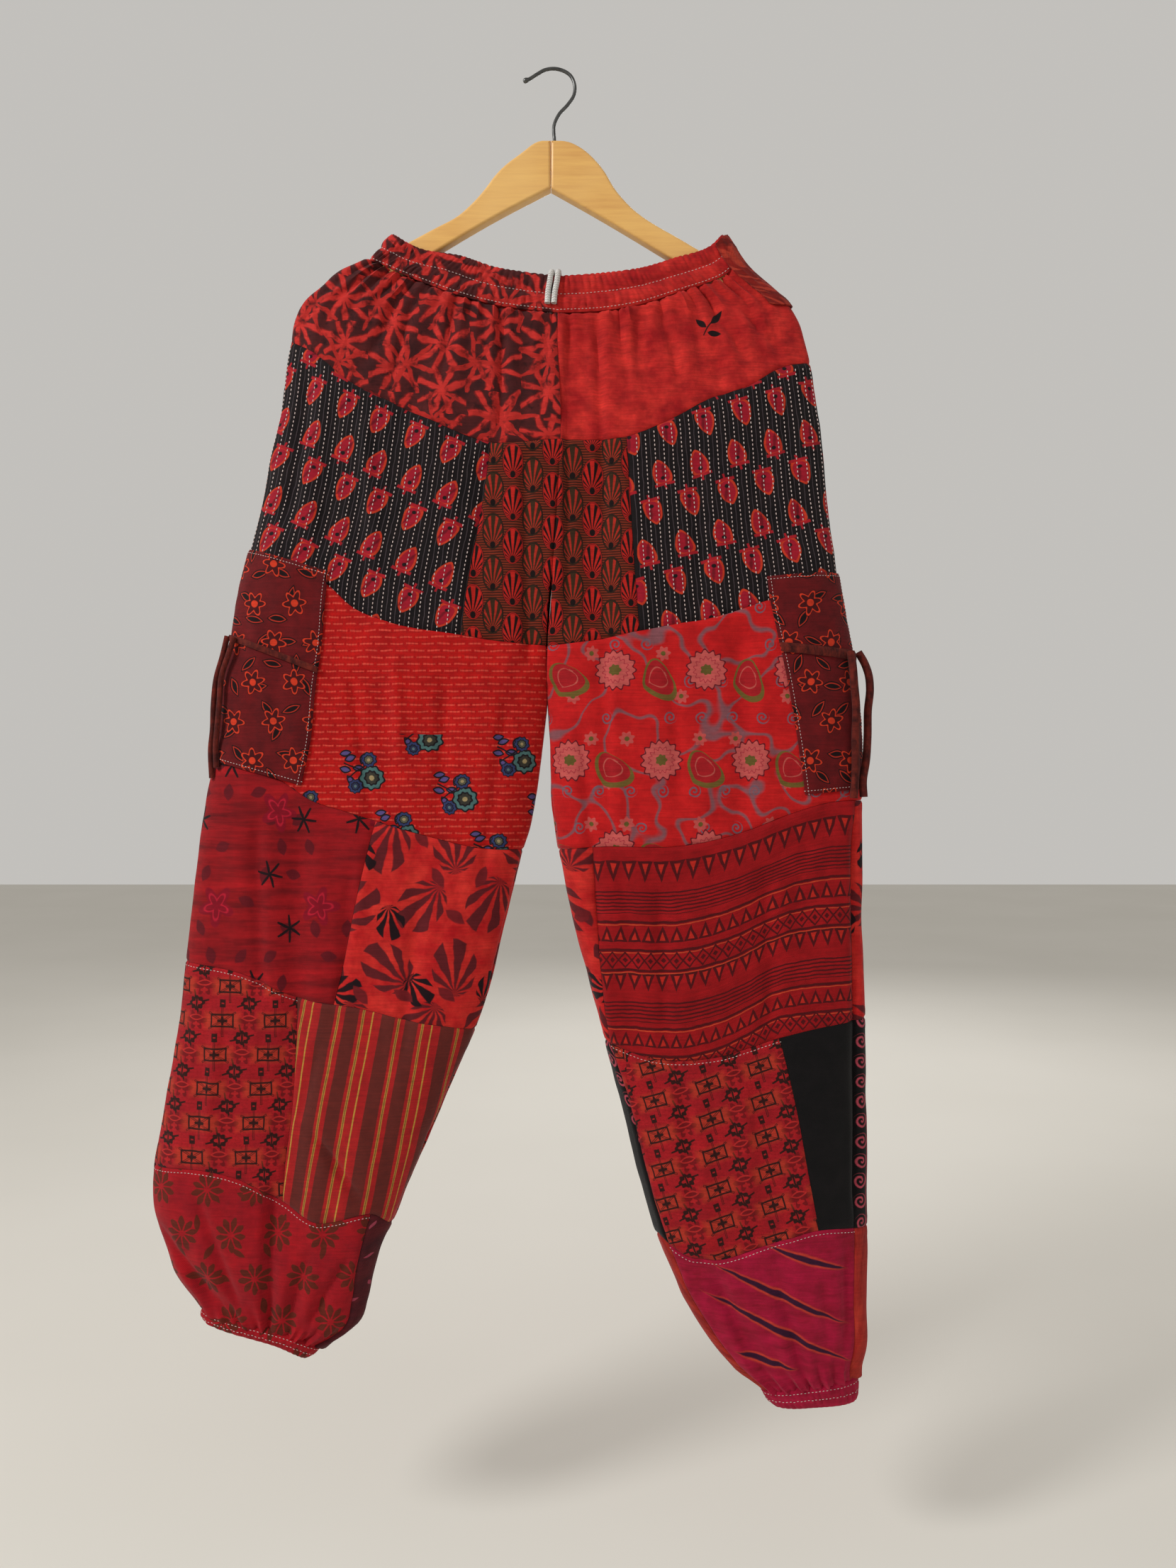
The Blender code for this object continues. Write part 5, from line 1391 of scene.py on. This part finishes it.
class PantsColours(bpy.types.PropertyGroup):
    """Ground colours of the cloths, and the colours of the wood and the thread."""

    batik: colour_of("Batik", "3A1416", "the batik's ground")
    tie_dye: colour_of("Tie-dye", "A81016", "the right yoke's deeper clouds")
    kantha: colour_of("Quilted black", "100A0D", "the stitched hip panels")
    fans: colour_of("Fans", "1C0A04", "the centre panel's ground")
    dobby: colour_of("Dobby", "CE120E", "the left upper leg")
    floral: colour_of("Floral", "DA1E1E", "the right upper leg's ground")
    slub: colour_of("Slub", "BC141C", "the left outer middle leg")
    leaves: colour_of("Leaves", "BE0E18", "the leaf print's ground")
    tiles: colour_of("Block print", "BE1A22", "the tile print's ground")
    stripes: colour_of("Stripes", "C01A1A", "the striped cloth's ground")
    damask: colour_of("Carnation", "B8121E", "the left foot and cuff")
    borders: colour_of("Borders", "B01218", "the border print's ground")
    black: colour_of("Black", "060405", "the plain black side")
    wrap: colour_of("Black border", "060405", "the black back of the right lower leg")
    magenta: colour_of("Magenta", "AE0C3A", "the right foot and cuff")
    coral: colour_of("Coral", "B8281E", "the right foot's back")
    maroon: colour_of("Maroon", "40121A", "the left foot's back")
    pocket: colour_of("Pockets", "761216", "the pockets' ground")
    tie: colour_of("Ties", "541814", "the strips and the hanging ties")
    patch: colour_of("Patch", "64160F", "the patch on the band")
    string: colour_of("Drawstring", "E6E3DE", "the braid")
    wood: colour_of("Wood", "E0A850", "the hanger's arms")
    thread: colour_of("Thread", "E6D6D0", "the sewing thread")


# Sewing that shows: piece, way the lines run, where (mm from an edge, shares, or print places), mm a stitch.
STITCHES = {
    "hip_front_left": ("print", 7.9, 3.66), "hip_front_right": ("print", 7.9, 3.66),
    "hip_back_left": ("print", 7.9, 3.66), "hip_back_right": ("print", 7.9, 3.66),
    "waistband_left": ("share", (0.5, 0.93), 3.2), "waistband_right": ("share", (0.5, 0.93), 3.2),
    "cuff_left": ("share", (0.3, 0.62), 3.2), "cuff_right": ("share", (0.3, 0.62), 3.2),
    "pocket_left": ("edge", (3.0,), 2.8), "pocket_right": ("edge", (3.0,), 2.8),
    "lower_outer_left": ("top", (3.0,), 3.2), "lower_front_right": ("top", (3.0,), 3.2),
    "foot_front_left": ("top", (3.0,), 3.2), "foot_front_right": ("top", (3.0,), 3.2),
}


def grid_lines(name):
    """The lines of sewing on a piece, each a run of points just off the cloth."""
    way, where, _ = STITCHES[name]
    grid = GRIDS[name]
    points = grid["points"] + 0.2 * grid["normals"]
    down, across = along(points, 0), along(points, 1)

    def follow(measure, turned, value):
        """Points where a measure of the grid has a value, in each column or, turned, in each row."""
        measure, source = (measure.T, points.swapaxes(0, 1)) if turned else (measure, points)
        targets = np.broadcast_to(value, measure.shape[1])
        columns = range(measure.shape[1])
        return np.array([
            [np.interp(targets[i], measure[:, i], source[:, i, axis]) for axis in range(3)] for i in columns
        ])

    if way == "share":
        return [follow(down, False, share * down[-1]) for share in where]
    if way == "top":
        return [follow(down, False, depth) for depth in where]
    if way == "edge":
        return [
            follow(down, False, where[0]), follow(down, False, down[-1] - where[0]),
            follow(across, True, where[0]), follow(across, True, across[:, -1] - where[0]),
        ]
    u = grid["map"][..., 0]
    if u[0, -1] < u[0, 0]:
        u, points = u[:, ::-1], points[:, ::-1]
    first, last = math.ceil((u[0, 0] + 2) / where), math.floor((u[0, -1] - 2) / where)
    inside = (down[:, down.shape[1] // 2] > 2.5) & (down[:, down.shape[1] // 2] < down[-1].max() - 2.5)
    return [follow(u, True, k * where)[inside] for k in range(first, last + 1)]


def stitch_tree():
    """Geometry nodes that lay one stitch after another along lines."""
    tree = bpy.data.node_groups.new("running stitch", "GeometryNodeTree")
    tree.is_modifier = True
    for label, kind in (
        ("Lines", "Geometry"), ("Pitch", "Float"), ("Length", "Float"), ("Width", "Float"),
        ("Thread", "Material"),
    ):
        tree.interface.new_socket(label, in_out="INPUT", socket_type=f"NodeSocket{kind}")
    tree.interface.new_socket("Stitches", in_out="OUTPUT", socket_type="NodeSocketGeometry")
    given = tree.nodes.new("NodeGroupInput").outputs
    curve = add(tree, "GeometryNodeMeshToCurve", {"Mesh": given["Lines"]})
    sizes = {"Curve": curve, "Length": given["Pitch"]}
    resample = add(tree, "GeometryNodeResampleCurve", sizes, mode="LENGTH")
    ball = add(tree, "GeometryNodeMeshUVSphere", {"Segments": 5, "Rings": 4, "Radius": 0.5})
    turn = add(tree, "FunctionNodeAlignRotationToVector",
               {"Vector": add(tree, "GeometryNodeInputTangent")}, axis="X")
    size = add(tree, "CombineXYZ", (given["Length"], given["Width"], given["Width"]))
    laid = add(tree, "GeometryNodeInstanceOnPoints",
               {"Points": resample, "Instance": ball, "Rotation": turn, "Scale": size})
    solid = add(tree, "GeometryNodeRealizeInstances", (laid,))
    final = add(tree, "GeometryNodeSetMaterial", {"Geometry": solid, "Material": given["Thread"]})
    tree.links.new(final, tree.nodes.new("NodeGroupOutput").inputs[0])
    return tree


def sew(name):
    """Lays the stitches that a piece shows, and gives them as one piece."""
    if name not in STITCHES:
        return []
    if "stitch" not in GROUPS:
        GROUPS["stitch"] = stitch_tree()
    lines = grid_lines(name)
    points, edges = np.concatenate(lines) * MM, []
    start = 0
    for line in lines:
        edges += [(i, i + 1) for i in range(start, start + len(line) - 1)]
        start += len(line)
    mesh = bpy.data.meshes.new(f"{name}_thread")
    mesh.from_pydata(points.tolist(), edges, [])
    piece = place_object(f"{name}_thread", mesh, MATERIALS["thread"])
    modifier = piece.modifiers.new("running stitch", "NODES")
    modifier.node_group = GROUPS["stitch"]
    pitch = STITCHES[name][2]
    values = {"Pitch": pitch * MM, "Length": 0.62 * pitch * MM,
              "Width": (0.9 if STITCHES[name][0] == "print" else 0.55) * MM, "Thread": MATERIALS["thread"]}
    for item in GROUPS["stitch"].interface.items_tree:
        if item.in_out == "INPUT" and item.name in values:
            modifier[item.identifier] = values[item.name]
    bpy.context.view_layer.update()
    piece = to_mesh(piece)
    dress(piece, name)
    return [piece]


class PantsSizes(bpy.types.PropertyGroup):
    """Sizes that a user would change."""

    step: bpy.props.FloatProperty(name="Detail step", description="Cell size of the cloth, as a share",
                                  default=1.0)
    crumple: bpy.props.FloatProperty(name="Crumple", description="Height of the soft crumple, in mm",
                                     default=1.5)
    gather: bpy.props.FloatProperty(name="Gathers", description="Height of the gathers, in mm", default=1.7)


class PANTS_OT_materials(bpy.types.Operator):
    """Makes the materials of the cloths, the hanger and the floor"""

    bl_idname = "pants.materials"
    bl_label = "Materials"

    def execute(self, context):
        make_materials()
        return {"FINISHED"}


class PANTS_OT_stage(bpy.types.Operator):
    """Adds the camera, the floor and the lights"""

    bl_idname = "pants.stage"
    bl_label = "Stage"

    def execute(self, context):
        data = bpy.data.cameras.new("camera")
        data.sensor_fit = "VERTICAL"
        data.angle = 2 * math.atan(1106 / 1655.7)
        data.clip_start = 0.01
        camera = place_camera("camera", data, (0.030, -1.010, -0.614), (math.pi / 2, 0, 0))
        context.scene.camera = camera
        floor = bpy.data.meshes.new("floor")
        floor.from_pydata([(-6, -5, -1.30), (6, -5, -1.30), (6, 7, -1.30), (-6, 7, -1.30)], [],
                          [(0, 1, 2, 3)])
        place_object("floor", floor, MATERIALS["floor"])
        for name, place, aim, size, power in LIGHTS:
            lamp = bpy.data.lights.new(name, "AREA")
            lamp.shape, lamp.size, lamp.energy = "DISK", size, power
            turn = (Vector(aim) - Vector(place)).to_track_quat("-Z", "Y").to_euler()
            place_camera(name, lamp, place, turn)
        context.scene.view_settings.view_transform = "Standard"
        world = bpy.data.worlds.new("pale room")
        context.scene.world = world
        world.use_nodes = True
        backdrop = world.node_tree.nodes["Background"]
        backdrop.inputs["Color"].default_value = (*linear("F4F1EC"), 1)
        backdrop.inputs["Strength"].default_value = 0.6
        return {"FINISHED"}


# Soft lamps: name, place, aim, size in metres, power in watts.
LIGHTS = [
    ("key light", (-1.7, -1.25, 0.7), (0, 0, -0.55), 0.6, 36),
    ("fill light", (1.6, -1.8, -0.2), (0, 0, -0.6), 1.8, 2),
    ("back light", (0.6, 2.4, 0.8), (0, 0, -0.6), 1.6, 30),
]


def place_camera(name, data, place, turn):
    """Puts a camera or a lamp in the scene."""
    thing = bpy.data.objects.new(name, data)
    thing.location, thing.rotation_euler = place, turn
    bpy.context.scene.collection.objects.link(thing)
    return thing


class PANTS_OT_cords(bpy.types.Operator):
    """Adds the drawstring's two strands and the four ties"""

    bl_idname = "pants.cords"
    bl_label = "Drawstring and ties"

    def execute(self, context):
        routes = {**STRING_ROUTES, **TIE_ROUTES}
        for name, (radius, route) in routes.items():
            points = smooth_route(route, 2.0)
            kind = "string" if name in STRING_ROUTES else "tie"
            piece = tube(f"{name}_cord", points, radius, MATERIALS[kind])
            dress(piece, name)
        return {"FINISHED"}


class PANTS_OT_hanger(bpy.types.Operator):
    """Adds the hanger's two wooden arms and its wire hook"""

    bl_idname = "pants.hanger"
    bl_label = "Hanger"

    def execute(self, context):
        gap = SEAM_GAP / 2
        for name, outline in (
            ("arm_left", [(min(x, JOINT_X - gap), z) for x, z in ARM_LEFT]),
            ("arm_right", [(max(x, JOINT_X + gap), z) for x, z in ARM_RIGHT]),
        ):
            curve = bpy.data.curves.new(name, "CURVE")
            curve.dimensions, curve.fill_mode = "2D", "BOTH"
            curve.extrude = (WOOD_THICK / 2 - 2.2) * MM
            curve.bevel_depth, curve.bevel_resolution, curve.offset = 2.2 * MM, 4, -2.2 * MM
            spline = curve.splines.new("POLY")
            edge = soften(outline)
            spline.points.add(len(edge) - 1)
            for target, (x, z) in zip(spline.points, edge):
                target.co = (x * MM, z * MM, 0, 1)
            spline.use_cyclic_u = True
            arm = place_object(f"{name}_wood", curve, MATERIALS["wood"])
            arm.rotation_euler.x = math.pi / 2
            context.view_layer.update()
            dress(to_mesh(arm), name)
        points = smooth_route([(x, 0, z) for x, z in HOOK_ROUTE], 1.0)
        swell = np.ones(len(points))
        swell[-5:] = (1.2, 1.45, 1.5, 1.35, 0.8)
        hook = tube("hook_wire", points, WIRE_RADIUS, MATERIALS["steel"], swell)
        dress(to_mesh(hook), "hook")
        return {"FINISHED"}


def soften(outline, rounds=2):
    """Rounds an outline's corners, but keeps the straight joint in the middle."""
    points = np.array(outline, float)
    for _ in range(rounds):
        after = np.roll(points, -1, axis=0)
        cut_points = np.stack([0.75 * points + 0.25 * after, 0.25 * points + 0.75 * after], axis=1)
        joint = np.isclose(points[:, 0], outline[0][0])
        fresh = []
        for index, pair in enumerate(cut_points):
            if joint[index]:
                fresh.append(points[index])
            fresh += list(pair) if not (joint[index] and joint[(index + 1) % len(points)]) else []
        points = np.array(fresh)
    return points


class PANTS_OT_waistband(bpy.types.Operator):
    """Adds the gathered waistband's two halves"""

    bl_idname = "pants.waistband"
    bl_label = "Waistband"

    def execute(self, context):
        profile = (0.35, 0.85, 1.0, 0.85, 0.12, 0.85, 1.0, 0.85, 0.12)
        for half, cloth in (("left", "batik"), ("right", "tie_dye")):
            parts = [("back", 1, 0), ("face", 0, 1)]
            seams = ("band_top", "band_foot")
            make_band(f"waistband_{half}", half, seams, parts, BAND_GATHERS, profile, 2.2, cloth,
                      context.scene.pants_sizes)
        return {"FINISHED"}


class PANTS_OT_fronts(bpy.types.Operator):
    """Adds the front panels"""

    bl_idname = "pants.fronts"
    bl_label = "Front panels"

    def execute(self, context):
        for name, half, tier, first, last, cloth in FRONT_PANELS:
            parts = [("front", first, last)]
            make_panel(name, half, tier, parts, cloth, context.scene.pants_sizes, panel_gaps(tier, True))
        return {"FINISHED"}


class PANTS_OT_backs(bpy.types.Operator):
    """Adds the back panels, some of which reach round to the front"""

    bl_idname = "pants.backs"
    bl_label = "Back panels"

    def execute(self, context):
        for name, half, tier, inseam_line, side_line, cloth in BACK_PANELS:
            parts = [("front", inseam_line, 5)] * (inseam_line < 5) + [("back", 1, 0)]
            parts += [("front", 0, side_line)] * (side_line > 0)
            make_panel(name, half, tier, parts, cloth, context.scene.pants_sizes, panel_gaps(tier, False))
        return {"FINISHED"}


def panel_gaps(tier, front):
    """The gaps above and below a panel, wider where it meets a gathered band."""
    above = (0.6 if front else 1.4) if tier == "yoke" else SEAM_GAP
    return above, 0.6 if tier == "foot" else SEAM_GAP


class PANTS_OT_cuffs(bpy.types.Operator):
    """Adds the two elastic cuffs"""

    bl_idname = "pants.cuffs"
    bl_label = "Cuffs"

    def execute(self, context):
        for half, cloth in (("left", "damask"), ("right", "magenta")):
            parts = [("back", 1, 0), ("face", 0, 1)]
            seams = ("foot_end", "cuff_end")
            profile = (0.2, 0.9, 1.0, 0.9, 0.3)
            make_band(f"cuff_{half}", half, seams, parts, CUFF_GATHERS, profile, 1.8, cloth,
                      context.scene.pants_sizes, True)
        return {"FINISHED"}


class PANTS_OT_pockets(bpy.types.Operator):
    """Adds the pockets, the strips sewn across them and the patch on the band"""

    bl_idname = "pants.pockets"
    bl_label = "Pockets and patch"

    def execute(self, context):
        sizes = context.scene.pants_sizes
        for half, lines in POCKETS.items():
            name = f"pocket_{half}"
            pocket = make_laid(name, half, lines["mouth"], lines["bottom"], 0.8, CLEAR, 1.1, "pocket", sizes)
            outer, inner, reach = STRAPS[half]
            ends = [[(outer[0], outer[1] + side), (inner[0], inner[1] + side)] for side in (reach, -reach)]
            lift = 2 * CLEAR + 1.1 + 0.8
            strap = make_laid(f"strap_{half}", half, *ends, 0.3, lift, 1.0, "tie", sizes)
            lay_flat(GRIDS[name]["points"], with_pieces=[strap, *sew(name)])
        make_hip_patch()
        return {"FINISHED"}


def make_hip_patch():
    """The patch over the right end of the waistband and the hip's side."""
    ease = 0.5 - 0.5 * np.cos(math.pi * np.linspace(0, 1, 300))
    place = np.concatenate([0.10 * ease[::-1] ** 1.5, 0.06 * ease[1:] ** 1.5])
    on_front = np.arange(len(place)) < 300
    keep = np.unique(np.linspace(0, len(place) - 1, 34).round().astype(int))
    place, on_front = place[keep], on_front[keep]
    share = np.linspace(0, 1, 30)[:, None]
    top = seam_height("right", "band_top", place) - 2
    z = top + (-205 - top) * share
    place = np.broadcast_to(place, z.shape)
    points, normals = surface("right", np.broadcast_to(on_front, z.shape), place, z)
    folds = 0.8 * ripple(along(points, 1) / 7, z / 30, 51) + 0.3 * ripple(along(points, 1) / 3, z / 12, 52)
    gathers = 0.8 * np.cos(along(points, 1) * 1.3 + 2 * ripple(z / 9, place * 20, 53)) * (1 - share) ** 0.5
    lift = np.interp(share, (0, 0.5, 1), (3.4, 3.4, 2.1)) + np.maximum(folds + gathers, -0.4)
    outer = points + lift[..., None] * normals
    mapped = print_map(points, "square", -1)
    piece = shell("hip_patch_cloth", outer, outer - CLOTH_WALL * normals, mapped, False, MATERIALS["patch"])
    dress(piece, "hip_patch")
    lay_flat(outer)


class PANTS_PT_sidebar(bpy.types.Panel):
    """Buttons and settings in the 3D view's sidebar"""

    bl_label = "Patchwork pants"
    bl_idname = "PANTS_PT_sidebar"
    bl_space_type = "VIEW_3D"
    bl_region_type = "UI"
    bl_category = "Pants"

    def draw(self, context):
        for label, settings in (("Sizes", context.scene.pants_sizes),
                                ("Colours", context.scene.pants_colours)):
            box = self.layout.box()
            box.label(text=label)
            for name in type(settings).__annotations__:
                box.prop(settings, name)
        for operator in STEPS:
            self.layout.operator(operator.bl_idname)


STEPS = (
    PANTS_OT_materials, PANTS_OT_stage, PANTS_OT_cords, PANTS_OT_hanger, PANTS_OT_waistband, PANTS_OT_fronts,
    PANTS_OT_backs, PANTS_OT_cuffs, PANTS_OT_pockets,
)
CLASSES = (PantsSizes, PantsColours, *STEPS, PANTS_PT_sidebar)


def register():
    for cls in CLASSES:
        bpy.utils.register_class(cls)
    bpy.types.Scene.pants_sizes = bpy.props.PointerProperty(type=PantsSizes)
    bpy.types.Scene.pants_colours = bpy.props.PointerProperty(type=PantsColours)


def unregister():
    del bpy.types.Scene.pants_colours
    del bpy.types.Scene.pants_sizes
    for cls in reversed(CLASSES):
        bpy.utils.unregister_class(cls)


def main():
    register()
    bpy.ops.pants.materials()
    bpy.ops.pants.stage()
    bpy.ops.pants.cords()
    bpy.ops.pants.hanger()
    bpy.ops.pants.waistband()
    bpy.ops.pants.fronts()
    bpy.ops.pants.backs()
    bpy.ops.pants.cuffs()
    bpy.ops.pants.pockets()


if __name__ == "__main__":
    main()
